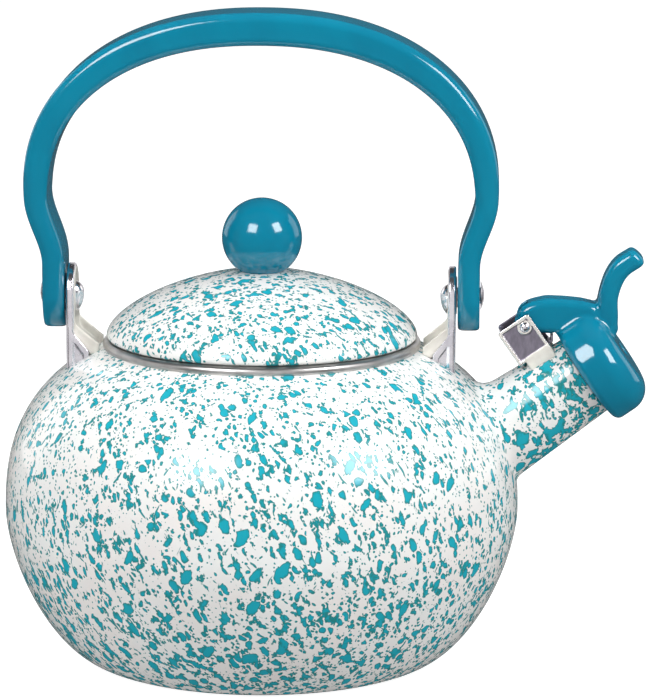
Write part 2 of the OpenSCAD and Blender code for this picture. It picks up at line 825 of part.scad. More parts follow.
// Teal moulding: the bun over the spout's mouth, its hinge arm and thumb lever
module whistle_cap() {
    hub = [pin_x, pin_z, hub_r];
    slot_y = spring_half + spring_wire + slot_clear;
    slot_r = spring_r + spring_leg + slot_deep;
    front_c = cap_r - front_edge;
    rear_c = cap_r - rear_step;
    front_z = cap_front - front_edge;
    color(TEAL) on_spout() difference() {
        union() {
            spun_on_spout() polygon(concat(
                [[0, cap_gap]],
                [for (a = [0 : 15 : 90]) [rear_c + rear_step * sin(a), cap_gap + rear_edge * (1 - cos(a))]],
                [for (a = [0 : 10 : 90]) [front_c + front_edge * cos(a), front_z + front_edge * sin(a)]],
                [[0, cap_front]]
            ));
            plate_y(-arm_w / 2, arm_w) difference() {
                union() {
                    for (i = [0 : len(lever_line) - 2]) link(lever_line[i], lever_line[i + 1]);
                    link(hub, lever_line[0]);
                    link(hub, lever_line[1]);
                    translate([cap_gap + rear_edge, 0]) square([cap_t - 2 * rear_edge, cap_r]);
                    translate([cap_front - cut, cap_r - foot_drop]) square([foot_out + cut, foot_h]);
                }
                translate([-far, -far]) square([far + cap_gap, far + clip_floor + arm_clear]);
            }
        }
        spun_on_spout() translate([0, -cut]) square([cup_r, cup_front + chamber_h + cut]);
        spun_on_spout() translate([0, -cut]) square([cup_flange_r, cap_gap + cup_t + cut]);
        spun_on_spout() square([vent_d / 2, far]);
        across(pin_d / 2 + running_gap, 2 * arm_w);
        across(slot_r, 2 * slot_y);
    }
}

// Steel cup pressed into the cap: its floor is the whistle's first plate
module whistle_cup() {
    color(STEEL) on_spout() difference() {
        union() {
            spun_on_spout() translate([0, cup_back]) square([cup_r, cup_front - cup_back]);
            spun_on_spout() translate([0, cap_gap]) square([cup_flange_r, cup_t]);
        }
        spun_on_spout() translate([0, cup_back + cup_t]) square([cup_r - cup_t, far]);
        spun_on_spout() translate([0, cup_back - cut]) square([whistle_hole_d / 2, far]);
    }
}

// The whistle's second plate, pressed into the cup
module whistle_disc() {
    color(STEEL) on_spout() spun_on_spout()
        translate([whistle_hole_d / 2, cup_back + cup_t + whistle_gap])
            square([cup_r - cup_t - whistle_hole_d / 2, cup_t]);
}

body_shell();
rim_ring();
spout();
mirror([1, 0, 0]) lug();  // lug_left
lug();  // lug_right
mirror([1, 0, 0]) bracket();  // bracket_left
bracket();  // bracket_right
mirror([1, 0, 0]) pivot_rivet();  // pivot_rivet_left
pivot_rivet();  // pivot_rivet_right
mirror([1, 0, 0]) pivot_washer();  // pivot_washer_left
pivot_washer();  // pivot_washer_right
hinge_saddle();
hinge_clip();
hinge_pin();
cap_spring();
handle_bail();
mirror([1, 0, 0]) handle_bushing();  // handle_bushing_left
handle_bushing();  // handle_bushing_right
lid_shell();
lid_collar();
lid_knob();
knob_insert();
knob_screw();
knob_washer();
whistle_cap();
whistle_cup();
whistle_disc();
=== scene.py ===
import functools
import json
import math
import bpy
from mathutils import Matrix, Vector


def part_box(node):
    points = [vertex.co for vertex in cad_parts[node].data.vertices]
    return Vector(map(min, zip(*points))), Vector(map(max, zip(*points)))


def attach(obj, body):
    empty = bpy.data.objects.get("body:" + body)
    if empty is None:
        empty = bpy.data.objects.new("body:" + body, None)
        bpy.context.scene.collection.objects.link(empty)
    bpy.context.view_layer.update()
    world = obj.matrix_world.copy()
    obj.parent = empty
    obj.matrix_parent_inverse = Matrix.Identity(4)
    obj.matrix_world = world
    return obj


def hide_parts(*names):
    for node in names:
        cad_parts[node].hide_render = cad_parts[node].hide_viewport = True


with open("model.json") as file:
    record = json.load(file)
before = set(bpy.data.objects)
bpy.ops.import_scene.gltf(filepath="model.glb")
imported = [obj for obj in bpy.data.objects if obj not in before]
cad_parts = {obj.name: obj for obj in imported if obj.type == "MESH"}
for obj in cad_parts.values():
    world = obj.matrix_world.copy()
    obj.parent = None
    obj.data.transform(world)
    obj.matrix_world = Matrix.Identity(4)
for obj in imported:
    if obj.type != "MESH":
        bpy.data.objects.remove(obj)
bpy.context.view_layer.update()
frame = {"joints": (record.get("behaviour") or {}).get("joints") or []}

from types import SimpleNamespace

import bmesh
import bpy
import numpy as np
from mathutils import Matrix, Vector

bl_info = {
    "name": "Whistling kettle",
    "version": (1, 0, 0),
    "blender": (4, 5, 0),
    "location": "View3D > Sidebar > Kettle",
    "description": "Splatter-enamelled kettle with a folding handle and a sprung whistle cap",
    "category": "Object",
}

FINISHES = {}


# Places taken from the frame, in millimetres


def span(node):
    """Lowest and highest corner of a frame node, in millimetres."""
    low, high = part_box(node)
    return np.array(low) * 1000, np.array(high) * 1000


def joint_place(name):
    """The point that a hinge turns about, in millimetres."""
    joint = next(j for j in frame["joints"] if j["name"] == name)
    return np.array(joint["pos_m"]) * 1000


PIVOT_Z = joint_place("handle_swing")[2]
PIN = joint_place("cap_flip")
SPOUT_TILT = math.radians(35)
PIN_BACK, PIN_UP = 7.7, 28.8
ALONG_SPOUT = np.array([math.cos(SPOUT_TILT), 0, math.sin(SPOUT_TILT)])
OVER_SPOUT = np.array([-math.sin(SPOUT_TILT), 0, math.cos(SPOUT_TILT)])
SPOUT_MOUTH = PIN + PIN_BACK * ALONG_SPOUT - PIN_UP * OVER_SPOUT


def from_spout(points):
    """Points [out along the spout, sideways, up from its axis] in the frame's own axes."""
    points = np.asarray(points, float)
    side = np.array([0.0, 1.0, 0.0])
    return SPOUT_MOUTH + points @ np.array([ALONG_SPOUT, side, OVER_SPOUT])


# Outlines


def even(points, step):
    """The same line with points at equal distances of about step."""
    points = np.asarray(points, float)
    run = np.concatenate([[0], np.cumsum(np.linalg.norm(np.diff(points, axis=0), axis=1))])
    count = max(2, int(round(run[-1] / step)) + 1)
    where = np.linspace(0, run[-1], count)
    return np.stack([np.interp(where, run, points[:, k]) for k in range(points.shape[1])], 1)


def inset(points, depth):
    """A line moved to its left by depth, point by point."""
    points = np.asarray(points, float)
    lead = np.gradient(points, axis=0)
    normal = np.stack([-lead[:, 1], lead[:, 0]], 1)
    return points + depth * normal / np.linalg.norm(normal, axis=1, keepdims=True)


def softened(corners, steps=5):
    """A closed outline of [x, y, radius] corners with each corner rounded to its radius."""
    made, count = [], len(corners)
    for i in range(count):
        before, here, after = (np.array(corners[(i + k) % count][:2], float) for k in (-1, 0, 1))
        radius = corners[i][2] if len(corners[i]) > 2 else 0
        a, b = before - here, after - here
        la, lb = np.linalg.norm(a), np.linalg.norm(b)
        half = math.acos(np.clip(a @ b / (la * lb), -1, 1)) / 2
        if radius <= 0 or half > math.pi / 2 - 0.02:
            made.append(here)
            continue
        reach = min(radius / math.tan(half), la * 0.49, lb * 0.49)
        start, end = here + a / la * reach, here + b / lb * reach
        for t in np.linspace(0, 1, steps + 1):
            made.append((1 - t) ** 2 * start + 2 * t * (1 - t) * here + t**2 * end)
    return np.array(made)


def arc(cx, cy, radius, first, last, steps):
    """Points on a circle between two angles in degrees."""
    angles = np.radians(np.linspace(first, last, steps + 1))
    return np.stack([cx + radius * np.cos(angles), cy + radius * np.sin(angles)], 1)


# Distance fields: each is negative inside the metal, in millimetres


def join(a, b, blend=0.0):
    """Both shapes, with a fillet of about blend between them."""
    if blend <= 0:
        return np.minimum(a, b)
    h = np.clip(0.5 + 0.5 * (b - a) / blend, 0, 1)
    return b * (1 - h) + a * h - blend * h * (1 - h)


def common(a, b, blend=0.0):
    """What lies in both shapes, with its edge rounded."""
    return -join(-a, -b, blend)


def without(a, b, blend=0.0):
    """The first shape with the second taken out of it."""
    return common(a, -b, blend)


def disc_field(u, v, cu, cv, radius):
    return np.hypot(u - cu, v - cv) - radius


def rounded_corner(d, e):
    """Distance outside a corner, from the distances outside its two faces."""
    return np.minimum(np.maximum(d, e), 0) + np.hypot(np.maximum(d, 0), np.maximum(e, 0))


def block_field(u, v, low, high, rounding=0.0):
    """A rectangle between two corners."""
    cu, cv = (low[0] + high[0]) / 2, (low[1] + high[1]) / 2
    du = np.abs(u - cu) - (high[0] - low[0]) / 2 + rounding
    dv = np.abs(v - cv) - (high[1] - low[1]) / 2 + rounding
    return rounded_corner(du, dv) - rounding


def outline_field(u, v, corners):
    """A polygon of any number of corners."""
    corners = np.asarray(corners, float)
    nearest = np.full(np.broadcast(u, v).shape, 1e18)
    inside = np.zeros(nearest.shape, bool)
    for a, b in zip(corners, np.roll(corners, -1, axis=0)):
        edge = b - a
        pu, pv = u - a[0], v - a[1]
        t = np.clip((pu * edge[0] + pv * edge[1]) / (edge @ edge), 0, 1)
        nearest = np.minimum(nearest, (pu - edge[0] * t) ** 2 + (pv - edge[1] * t) ** 2)
        if edge[1]:
            crosses = ((a[1] > v) != (b[1] > v)) & (pu < edge[0] * pv / edge[1])
            inside ^= crosses
    return np.where(inside, -1, 1) * np.sqrt(nearest)


def link_field(u, v, a, b):
    """Two circles of [u, v, radius] and the hull round them."""
    run = np.array([b[0] - a[0], b[1] - a[1]])
    length = np.linalg.norm(run)
    run = run / length
    slope = (a[2] - b[2]) / length
    rise = math.sqrt(max(1 - slope * slope, 1e-9))
    p = (u - a[0]) * run[0] + (v - a[1]) * run[1]
    q = np.abs((v - a[1]) * run[0] - (u - a[0]) * run[1])
    k = p * rise - q * slope
    along_edge = q * rise + p * slope - a[2]
    at_a, at_b = np.hypot(p, q) - a[2], np.hypot(p - length, q) - b[2]
    return np.where(k < 0, at_a, np.where(k > length * rise, at_b, along_edge))


def slab_field(flat, w, low, high, rounding=0.0):
    """A flat outline thickened between two heights, with its rims rounded."""
    d = flat + rounding
    e = np.abs(w - (low + high) / 2) - (high - low) / 2 + rounding
    return rounded_corner(d, e) - rounding


# Mesh making


SHARP = math.radians(38)


def linked(name, content):
    """An object that shows a mesh, a light or a camera, put in the scene."""
    made = bpy.data.objects.new(name, content)
    bpy.context.scene.collection.objects.link(made)
    return made


def to_object(name, vertices, faces, normals=None):
    """A smooth-shaded object from points in millimetres."""
    mesh = bpy.data.meshes.new(name)
    mesh.from_pydata((np.asarray(vertices) / 1000).tolist(), [], faces)
    work = bmesh.new()
    work.from_mesh(mesh)
    bmesh.ops.remove_doubles(work, verts=work.verts, dist=2e-7)
    bmesh.ops.dissolve_degenerate(work, dist=1e-7, edges=work.edges)
    if normals is None:
        bmesh.ops.recalc_face_normals(work, faces=work.faces)
    work.to_mesh(mesh)
    work.free()
    mesh.shade_smooth()
    if normals is None:
        mesh.set_sharp_from_angle(angle=SHARP)
    elif len(normals) == len(mesh.vertices):
        mesh.normals_split_custom_set_from_vertices(np.asarray(normals).tolist())
    return linked(name, mesh)


def skinned(name, rings, closed=True, capped=False):
    """A skin over a row of rings of equal numbers of points. closed joins the last ring to the first."""
    rings = np.asarray(rings, float)
    count, size = rings.shape[:2]
    rows = np.arange(count if closed else count - 1)[:, None]
    cols = np.arange(size)[None, :]
    a, b = rows * size + cols, rows * size + (cols + 1) % size
    next_row = (rows + 1) % count
    across = [a, b, next_row * size + (cols + 1) % size, next_row * size + cols]
    faces = np.stack(across, -1).reshape(-1, 4).tolist()
    if capped:
        faces += [list(range(size - 1, -1, -1)), list(range((count - 1) * size, count * size))]
    return to_object(name, rings.reshape(-1, 3), faces)


def turned(name, profile, axis="up", spokes=192, start=(0, 0, 0)):
    """A closed profile of [radius, distance along the axis] turned about an axis."""
    profile = np.asarray(profile, float)
    angles = np.linspace(0, 2 * math.pi, spokes, endpoint=False)
    radius, run = profile[:, :1], np.repeat(profile[:, 1:2], spokes, axis=1)
    across, up = radius * np.cos(angles), radius * np.sin(angles)
    if axis == "up":
        rings = np.stack([across, up, run], -1) + np.asarray(start, float)
    elif axis == "side":
        rings = np.stack([run, across, up], -1) + np.asarray(start, float)
    else:
        rings = from_spout(np.stack([run, across, up], -1))
    return skinned(name, rings)


def carved(name, field, low, high, cell, placed=None):
    """The skin of a distance field inside a box, as even quads pulled onto the true surface."""
    low = np.asarray(low, float) - 2 * cell
    axes = [low[k] + cell * np.arange(int((high[k] + 2 * cell - low[k]) / cell) + 1) for k in range(3)]
    shape = tuple(len(a) for a in axes)
    value = np.broadcast_to(field(*np.meshgrid(*axes, indexing="ij", sparse=True)), shape)
    cells = tuple(n - 1 for n in shape)
    total, count = np.zeros(cells + (3,)), np.zeros(cells)
    quads = []
    for axis in range(3):
        others = [k for k in range(3) if k != axis]
        first, second = [slice(None)] * 3, [slice(None)] * 3
        first[axis], second[axis] = slice(0, -1), slice(1, None)
        va, vb = value[tuple(first)], value[tuple(second)]
        where = np.argwhere((va < 0) != (vb < 0))
        for k in others:
            where = where[(where[:, k] > 0) & (where[:, k] < shape[k] - 1)]
        fa, fb = va[tuple(where.T)], vb[tuple(where.T)]
        points = low + where * cell
        points[:, axis] += cell * fa / (fa - fb)
        corners = []
        for du, dv in ((-1, -1), (0, -1), (0, 0), (-1, 0)):
            at = where.copy()
            at[:, others[0]] += du
            at[:, others[1]] += dv
            np.add.at(total, tuple(at.T), points)
            np.add.at(count, tuple(at.T), 1)
            corners.append(np.ravel_multi_index(tuple(at.T), cells))
        quad = np.stack(corners, 1)
        turn = (fa >= 0) ^ (axis == 1)
        quad[turn] = quad[turn][:, ::-1]
        quads.append(quad)
    quads = np.concatenate(quads)
    used, faces = np.unique(quads, return_inverse=True)
    points = total.reshape(-1, 3)[used] / count.ravel()[used, None]
    faces = faces.reshape(-1, 4)

    def at(p):
        return np.broadcast_to(field(p[:, 0], p[:, 1], p[:, 2]), len(p))

    def slope(p, h):
        return np.stack([(at(p + h * e) - at(p - h * e)) / (2 * h) for e in np.eye(3)], 1)

    for _ in range(3):
        g = slope(points, cell * 0.1)
        step = np.clip(at(points), -cell, cell) / np.maximum((g * g).sum(1), 0.2)
        points = points - step[:, None] * g
    normals = slope(points, cell * 0.2)
    normals /= np.maximum(np.linalg.norm(normals, axis=1, keepdims=True), 1e-6)
    if placed:
        normals = placed(normals) - placed(np.zeros(3))
        points = placed(points)
    return to_object(name, points, faces.tolist(), normals)


def cut_away(piece, cutter):
    """Takes the cutter's shape out of the piece and removes the cutter."""
    modifier = piece.modifiers.new("cut", "BOOLEAN")
    modifier.operation, modifier.solver, modifier.object = "DIFFERENCE", "EXACT", cutter
    bpy.context.view_layer.update()
    mesh = bpy.data.meshes.new_from_object(piece.evaluated_get(bpy.context.evaluated_depsgraph_get()))
    piece.modifiers.clear()
    piece.data = mesh
    bpy.data.objects.remove(cutter)
    if len(mesh.polygons) < 12:
        raise RuntimeError(f"{piece.name} was lost in a cut")
    mesh.set_sharp_from_angle(angle=SHARP)
    return piece


def mirrored(piece, name):
    """A copy of the piece on the other side of the kettle."""
    mesh = piece.data.copy()
    work = bmesh.new()
    work.from_mesh(mesh)
    for vertex in work.verts:
        vertex.co.x = -vertex.co.x
    bmesh.ops.reverse_faces(work, faces=work.faces)
    work.to_mesh(mesh)
    work.free()
    mesh.shade_smooth()
    mesh.set_sharp_from_angle(angle=SHARP)
    return linked(name, mesh)


def fitted(piece, body, slot, *nodes, finish=None):
    """Gives the piece its finish, its body and the frame nodes it stands for."""
    piece.data.materials.clear()
    piece.data.materials.append(finish or FINISHES[slot])
    if slot.endswith("steel") or slot.startswith("brass"):
        bpy.data.collections["shiny_pieces"].objects.link(piece)
    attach(piece, body)
    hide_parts(*nodes)
    return piece


def fitted_pair(piece, body, slot, node):
    """Fits a right-hand piece and its mirrored copy to the two frame nodes of that name."""
    fitted(mirrored(piece, piece.name.replace("right", "left")), body, slot, node + "_left")
    fitted(piece, body, slot, node + "_right")


# Finishes


class Wire:
    """A node's output that can stand in a sum: each operator adds a Math node."""

    def __init__(self, finish, socket):
        self.finish, self.socket = finish, socket

    def __add__(self, other):
        return self.finish.maths("ADD", self, other)

    def __radd__(self, other):
        return self.finish.maths("ADD", other, self)

    def __sub__(self, other):
        return self.finish.maths("SUBTRACT", self, other)

    def __rsub__(self, other):
        return self.finish.maths("SUBTRACT", other, self)

    def __mul__(self, other):
        return self.finish.maths("MULTIPLY", self, other)

    def __rmul__(self, other):
        return self.finish.maths("MULTIPLY", other, self)

    def most(self, other):
        return self.finish.maths("MAXIMUM", self, other)

    def clamped(self):
        return self.finish.maths("ADD", self, 0.0, clamp=True)


class Finish:
    """A material, or the room, that is put together from nodes."""

    def __init__(self, name, family="materials"):
        self.block = getattr(bpy.data, family).new(name)
        self.block.use_nodes = True
        self.nodes, self.links = self.block.node_tree.nodes, self.block.node_tree.links
        self.nodes.clear()

    def add(self, kind, settings=None, sockets=None, output=0):
        """Adds a node: its settings first, then the values or wires of its sockets."""
        node = self.nodes.new(kind)
        for key, value in (settings or {}).items():
            setattr(node, key, value)
        for key, value in (sockets or {}).items():
            named = [s for s in node.inputs if s.identifier == key]
            socket = named[0] if named else node.inputs[key]
            if isinstance(value, Wire):
                self.links.new(value.socket, socket)
            else:
                socket.default_value = value
        return Wire(self, node.outputs[output]) if len(node.outputs) else None

    def maths(self, operation, a, b, clamp=False):
        settings = {"operation": operation, "use_clamp": clamp}
        return self.add("ShaderNodeMath", settings, {0: a, 1: b})

    def vectors(self, operation, a, b=(0.0, 0.0, 0.0)):
        return self.add("ShaderNodeVectorMath", {"operation": operation}, {0: a, 1: b})

    def place(self):
        """Where a point is on the kettle, in millimetres."""
        metres = self.add("ShaderNodeTexCoord", output="Object")
        return self.vectors("MULTIPLY", metres, (1000.0, 1000.0, 1000.0))

    def noise(self, place, size, detail=2.0, rough=0.5, output=0):
        """Noise with features of about size millimetres."""
        sockets = {"Vector": place, "Scale": 1.0 / size, "Detail": detail, "Roughness": rough}
        return self.add("ShaderNodeTexNoise", {"noise_dimensions": "3D"}, sockets, output)

    def pushed(self, place, size, reach, detail=1.0):
        """A place pushed about by noise, which makes outlines uneven."""
        colour = self.noise(place, size, detail, output=1)
        shift = self.vectors("SUBTRACT", colour, (0.5, 0.5, 0.5))
        return self.vectors("ADD", place, self.vectors("MULTIPLY", shift, (2 * reach,) * 3))

    def turned_place(self, place, axis, degrees, stretch):
        """A place turned about an axis and then squeezed, for drops that lean one way."""
        sockets = {"Vector": place, "Axis": axis, "Angle": math.radians(degrees)}
        turned_round = self.add("ShaderNodeVectorRotate", {"rotation_type": "AXIS_ANGLE"}, sockets)
        return self.vectors("MULTIPLY", turned_round, stretch)

    def mixed(self, share, a, b):
        """A colour between two, by share."""
        sockets = {"Factor_Float": share, "A_Color": a, "B_Color": b}
        return self.add("ShaderNodeMix", {"data_type": "RGBA"}, sockets, 2)

    def ramped(self, value, low, high, first=0.0, last=1.0, kind="SMOOTHSTEP"):
        """A value spread from one span of numbers to another."""
        sockets = {"Value": value, "From Min": low, "From Max": high, "To Min": first, "To Max": last}
        return self.add("ShaderNodeMapRange", {"interpolation_type": kind}, sockets)

    def bumped(self, height, reach_mm, strength=1.0):
        """A normal from a height of 0 to 1 that stands for reach_mm."""
        sockets = {"Height": height, "Distance": reach_mm / 1000, "Strength": strength}
        return self.add("ShaderNodeBump", None, sockets)

    def closed(self, sockets):
        """Ends the material in a Principled shader."""
        shader = self.add("ShaderNodeBsdfPrincipled", None, sockets)
        self.add("ShaderNodeOutputMaterial", None, {"Surface": shader})
        return self.block


def opaque(colour):
    return (colour[0], colour[1], colour[2], 1.0)


def drops(finish, place, cell, biggest, least):
    """How deep a point lies inside round drops scattered one to a cell, in millimetres."""
    settings = {"voronoi_dimensions": "3D", "feature": "F1"}
    sockets = {"Vector": place, "Scale": 1.0 / cell, "Randomness": 1.0}
    cells = finish.add("ShaderNodeTexVoronoi", settings, sockets)
    colour = Wire(finish, cells.socket.node.outputs[1])
    chance = finish.add("ShaderNodeSeparateColor", None, {0: colour})
    radius = ((chance - least) * (biggest / (1 - least))).most(0.0)
    return radius - cells * cell


def speckled_enamel(colours):
    """White vitreous enamel with a splatter of teal drops, spots and strands."""
    f = Finish("speckled_enamel")
    place = f.place()
    wavy = f.pushed(f.pushed(place, 5.0, 1.5), 1.3, 0.42)
    leaning = f.turned_place(wavy, (0.25, 1.0, 0.0), 22.0, (1.0, 1.0, 0.5))
    leaning_far = f.turned_place(wavy, (-0.1, 1.0, 0.3), -38.0, (1.0, 1.0, 0.5))
    strand = f.turned_place(f.pushed(place, 7.0, 1.6), (0.2, 1.0, 0.1), 40.0, (1.0, 1.0, 0.13))
    strand_two = f.turned_place(f.pushed(place, 8.0, 1.8), (0.1, 1.0, -0.3), -25.0, (1.0, 1.0, 0.13))
    height = f.add("ShaderNodeSeparateXYZ", None, {0: place}, "Z")
    along = f.add("ShaderNodeSeparateXYZ", None, {0: place}, "X")
    aside = along.most(0.0 - along)
    crowd = f.ramped(height, 10.0, 112.0, 0.52, 0.16) - f.ramped(aside, 45.0, 90.0, 0.0, 0.22)
    crowd = crowd + f.ramped(along, 92.0, 102.0, 0.0, 0.85) + f.ramped(height, 116.0, 122.0, 0.0, 0.14)
    islands = (f.noise(leaning, 3.1, 2.4, 0.55) - 0.655) * 5.5 + crowd
    depth = drops(f, leaning, 4.2, 1.65, 0.22).most(drops(f, leaning_far, 6.2, 2.2, 0.46))
    depth = (depth + crowd * 0.5).most(islands)
    depth = depth.most(drops(f, leaning, 2.3, 1.2, 0.30) + crowd * 0.2 - 0.05)
    depth = depth.most(drops(f, wavy, 1.9, 0.8, 0.42))
    depth = depth.most(drops(f, place, 1.4, 0.46, 0.45))
    depth = depth.most(drops(f, strand, 2.1, 0.55, 0.3)).most(drops(f, strand_two, 2.6, 0.55, 0.4))
    paint = f.ramped(depth, -0.07, 0.09)
    core = f.ramped(depth, 0.10, 0.62)
    cloud = f.noise(place, 22.0, 2.0)
    white = f.mixed(f.ramped(cloud, 0.3, 0.7), opaque(colours.enamel_white), opaque(colours.enamel_shade))
    teal = f.mixed(core, opaque(colours.splatter_edge), opaque(colours.splatter_core))
    ripple = f.noise(place, 9.0, 1.5) * 0.6 + paint * 0.25 + f.noise(place, 0.9, 1.0) * 0.02
    return f.closed(
        {
            "Base Color": f.mixed(paint, white, teal),
            "Roughness": f.ramped(f.noise(place, 14.0, 3.0), 0.3, 0.7, 0.10, 0.19),
            "IOR": 1.56,
            "Normal": f.bumped(ripple, 0.05),
        }
    )


def plain_enamel(colours):
    """Cream enamel, slightly thicker and darker in its hollows."""
    f = Finish("plain_enamel")
    place = f.place()
    cloud = f.ramped(f.noise(place, 6.0, 3.0), 0.35, 0.7)
    pit = f.ramped(drops(f, place, 3.0, 0.28, 0.8), 0.0, 0.1)
    colour = f.mixed(cloud, opaque(colours.lug_cream), opaque(colours.lug_shade))
    return f.closed(
        {
            "Base Color": f.mixed(pit * 0.6, colour, (0.16, 0.12, 0.09, 1.0)),
            "Roughness": f.ramped(cloud, 0.0, 1.0, 0.12, 0.26),
            "IOR": 1.54,
            "Normal": f.bumped(f.noise(place, 2.4, 2.0), 0.06),
        }
    )


def teal_phenolic(colours):
    """Glossy moulded phenolic with faint flow marks."""
    f = Finish("teal_phenolic")
    place = f.place()
    flow = f.noise(f.turned_place(place, (0.3, 1.0, 0.2), 20.0, (1.0, 1.0, 0.35)), 16.0, 3.0)
    grain = f.noise(place, 0.7, 2.0)
    rub = f.ramped(f.noise(place, 26.0, 4.0, 0.6), 0.4, 0.75)
    colour = f.mixed(f.ramped(flow, 0.3, 0.7), opaque(colours.phenolic), opaque(colours.phenolic_deep))
    return f.closed(
        {
            "Base Color": colour,
            "Roughness": (rub * 0.07 + grain * 0.03 + 0.075).clamped(),
            "IOR": 1.63,
            "Normal": f.bumped(flow * 0.7 + grain * 0.015, 0.10),
        }
    )


def sheet_metal(name, colour, dark, smooth, dull, lines, reach, size):
    """Bright metal with fine lines along lines, and duller patches."""
    f = Finish(name)
    place = f.place()
    drawn = f.noise(f.vectors("MULTIPLY", place, lines), size, 3.0, 0.6)
    patch = f.noise(place, 7.0, 3.0)
    fog = f.ramped(patch, 0.35, 0.7)
    return f.closed(
        {
            "Base Color": f.mixed(fog * 0.7 + drawn * 0.3, opaque(colour), opaque(dark)),
            "Metallic": 1.0,
            "Roughness": (f.ramped(patch, 0.3, 0.75, smooth, dull) + drawn * 0.06).clamped(),
            "Normal": f.bumped(drawn, reach),
        }
    )


def clip_steel(colours):
    """Plated steel that is dull and painted dark with shade in the pressed panels, and bright on the raised
    borders.
    """
    f = Finish("clip_steel")
    place = f.place()
    sideways = f.add("ShaderNodeSeparateXYZ", None, {0: place}, "Y")
    out = sideways.most(0.0 - sideways)
    raised = f.ramped(out, CHEEK - 0.3, CHEEK - 0.1)
    scuff = f.noise(f.vectors("MULTIPLY", place, (1.0, 1.0, 0.5)), 2.2, 4.0, 0.6)
    # The panels' colour is painted shade, darker still in random scuffs; the steel itself is one colour.
    worn_panel_shade = opaque([0.72 * c for c in colours.panel])
    dull = f.mixed(f.ramped(scuff, 0.3, 0.7), opaque(colours.panel), worn_panel_shade)
    return f.closed(
        {
            "Base Color": f.mixed(raised, dull, (0.93, 0.90, 0.86, 1.0)),
            "Metallic": 1.0,
            "Roughness": (f.ramped(raised, 0.0, 1.0, 0.3, 0.16) + scuff * 0.08).clamped(),
            "Normal": f.bumped(scuff, 0.02),
        }
    )


def pale_floor(colours):
    """Plain pale paper with the faintest mottle."""
    f = Finish("pale_floor")
    mottle = f.noise(f.place(), 60.0, 2.0)
    colour = f.mixed(mottle, opaque(colours.floor), opaque([0.985 * c for c in colours.floor]))
    return f.closed(
        {
            "Base Color": (0.3, 0.3, 0.3, 1.0),
            "Roughness": 0.85,
            "Specular IOR Level": 0.1,
            "Emission Color": colour,
            "Emission Strength": 1.04,
        }
    )


# Name: colour, darker colour, lowest and highest roughness, stretch of its lines, their depth and their size
METALS = {
    "polished_steel": ((0.60, 0.585, 0.575), (0.44, 0.425, 0.42), 0.26, 0.34, (1.0, 1.0, 9.0), 0.0004, 2.4),
    "bright_steel": ((0.90, 0.87, 0.91), (0.72, 0.69, 0.75), 0.14, 0.26, (1.0, 1.0, 0.4), 0.012, 1.6),
    "spring_steel": ((0.44, 0.44, 0.45), (0.3, 0.3, 0.32), 0.25, 0.4, (1.0, 6.0, 1.0), 0.01, 0.8),
    "brass_insert": ((0.72, 0.52, 0.22), (0.5, 0.34, 0.14), 0.2, 0.38, (1.0, 1.0, 7.0), 0.01, 1.0),
}


def lit_room(brightness):
    """A dim room, a little brighter on the camera's side."""
    f = Finish("room", "worlds")
    way = f.add("ShaderNodeTexCoord", output="Generated")
    back = f.add("ShaderNodeSeparateXYZ", None, {0: way}, "Y")
    glow = f.ramped(back, -0.9, 0.5, 0.25, 0.22, "LINEAR") * brightness
    sky = f.add("ShaderNodeBackground", None, {"Strength": glow})
    f.add("ShaderNodeOutputWorld", None, {"Surface": sky})
    return f.block


# Sizes and colours that a user would change


def length(name, description, millimetres):
    return bpy.props.FloatProperty(
        name=name, description=description, default=float(millimetres) / 1000, unit="LENGTH", precision=4
    )


def angle(name, description, degrees):
    return bpy.props.FloatProperty(
        name=name, description=description, default=math.radians(degrees), unit="ROTATION"
    )


def tint(name, description, colour):
    return bpy.props.FloatVectorProperty(
        name=name, description=description, default=colour, size=3, min=0, max=1, subtype="COLOR"
    )


def number(name, description, value):
    return bpy.props.FloatProperty(name=name, description=description, default=value)


def in_mm(group):
    """The lengths of a property group in millimetres, and its plain numbers as they are."""
    lengths = {p.identifier for p in group.bl_rna.properties if getattr(p, "unit", "") == "LENGTH"}
    names = [k for k in group.bl_rna.properties.keys() if k not in ("rna_type", "name")]
    return SimpleNamespace(**{k: getattr(group, k) * (1000 if k in lengths else 1) for k in names})


class BodySizes(bpy.types.PropertyGroup):
    radius: length("Radius", "Radius of the body at its widest", span("body_shell")[1][0])
    belly: length("Belly height", "Height of the widest circle", 56.2)
    base: length("Base radius", "Radius of the flat base", 64)
    shoulder: length("Shoulder height", "Height at which the shoulder turns up", 118.2)
    lip: length("Lip height", "Height of the mouth's lip", span("body_shell")[1][2])
    mouth: length("Mouth radius", "Outside radius of the mouth's lip", 58.4)
    wall: length("Wall", "Thickness of the enamelled steel", 1.2)
    low_curve: number("Lower fullness", "Fullness of the curve under the belly", 1.57)
    high_curve: number("Upper fullness", "Fullness of the curve over the belly", 2.5)
    bead: length("Rim bead", "Radius of the rolled steel bead", 1.9)
    skirt: length("Rim skirt", "Depth of the rim's skirt inside the mouth", 6)


class LidSizes(bpy.types.PropertyGroup):
    radius: length("Radius", "Radius of the lid's rolled edge", span("lid_shell")[1][0])
    roll: length("Edge roll", "Radius of the rolled edge", 1.3)
    land: length("Land radius", "Radius of the flat under the knob", 9.09)
    curve: number("Fullness", "Fullness of the dome", 1.6)
    wall: length("Wall", "Thickness of the lid", 1)
    collar: length("Collar depth", "Depth of the steel collar under the lid's edge", 9)
    collar_wall: length("Collar wall", "Thickness of the steel collar", 0.8)


class HandleSizes(bpy.types.PropertyGroup):
    arm: length("Arm thickness", "Thickness of the straight arms", 8.2)
    rise: length("Arm height", "Height of the straight arms over the pivots", 12)
    bend: length("Bend height", "Height of the bend between arm and arch", 26)
    out: length("Bend width", "How far the arch stands out past the arms", 6.4)
    side: length("Arch side thickness", "Thickness of the arch at its sides", 8.7)
    top: length("Arch top thickness", "Thickness of the arch at its top", 12.2)
    edge: length("Edge radius", "Radius of the handle's long edges", 3.5)
    curve: number("Squareness", "Squareness of the arch", 2.22)


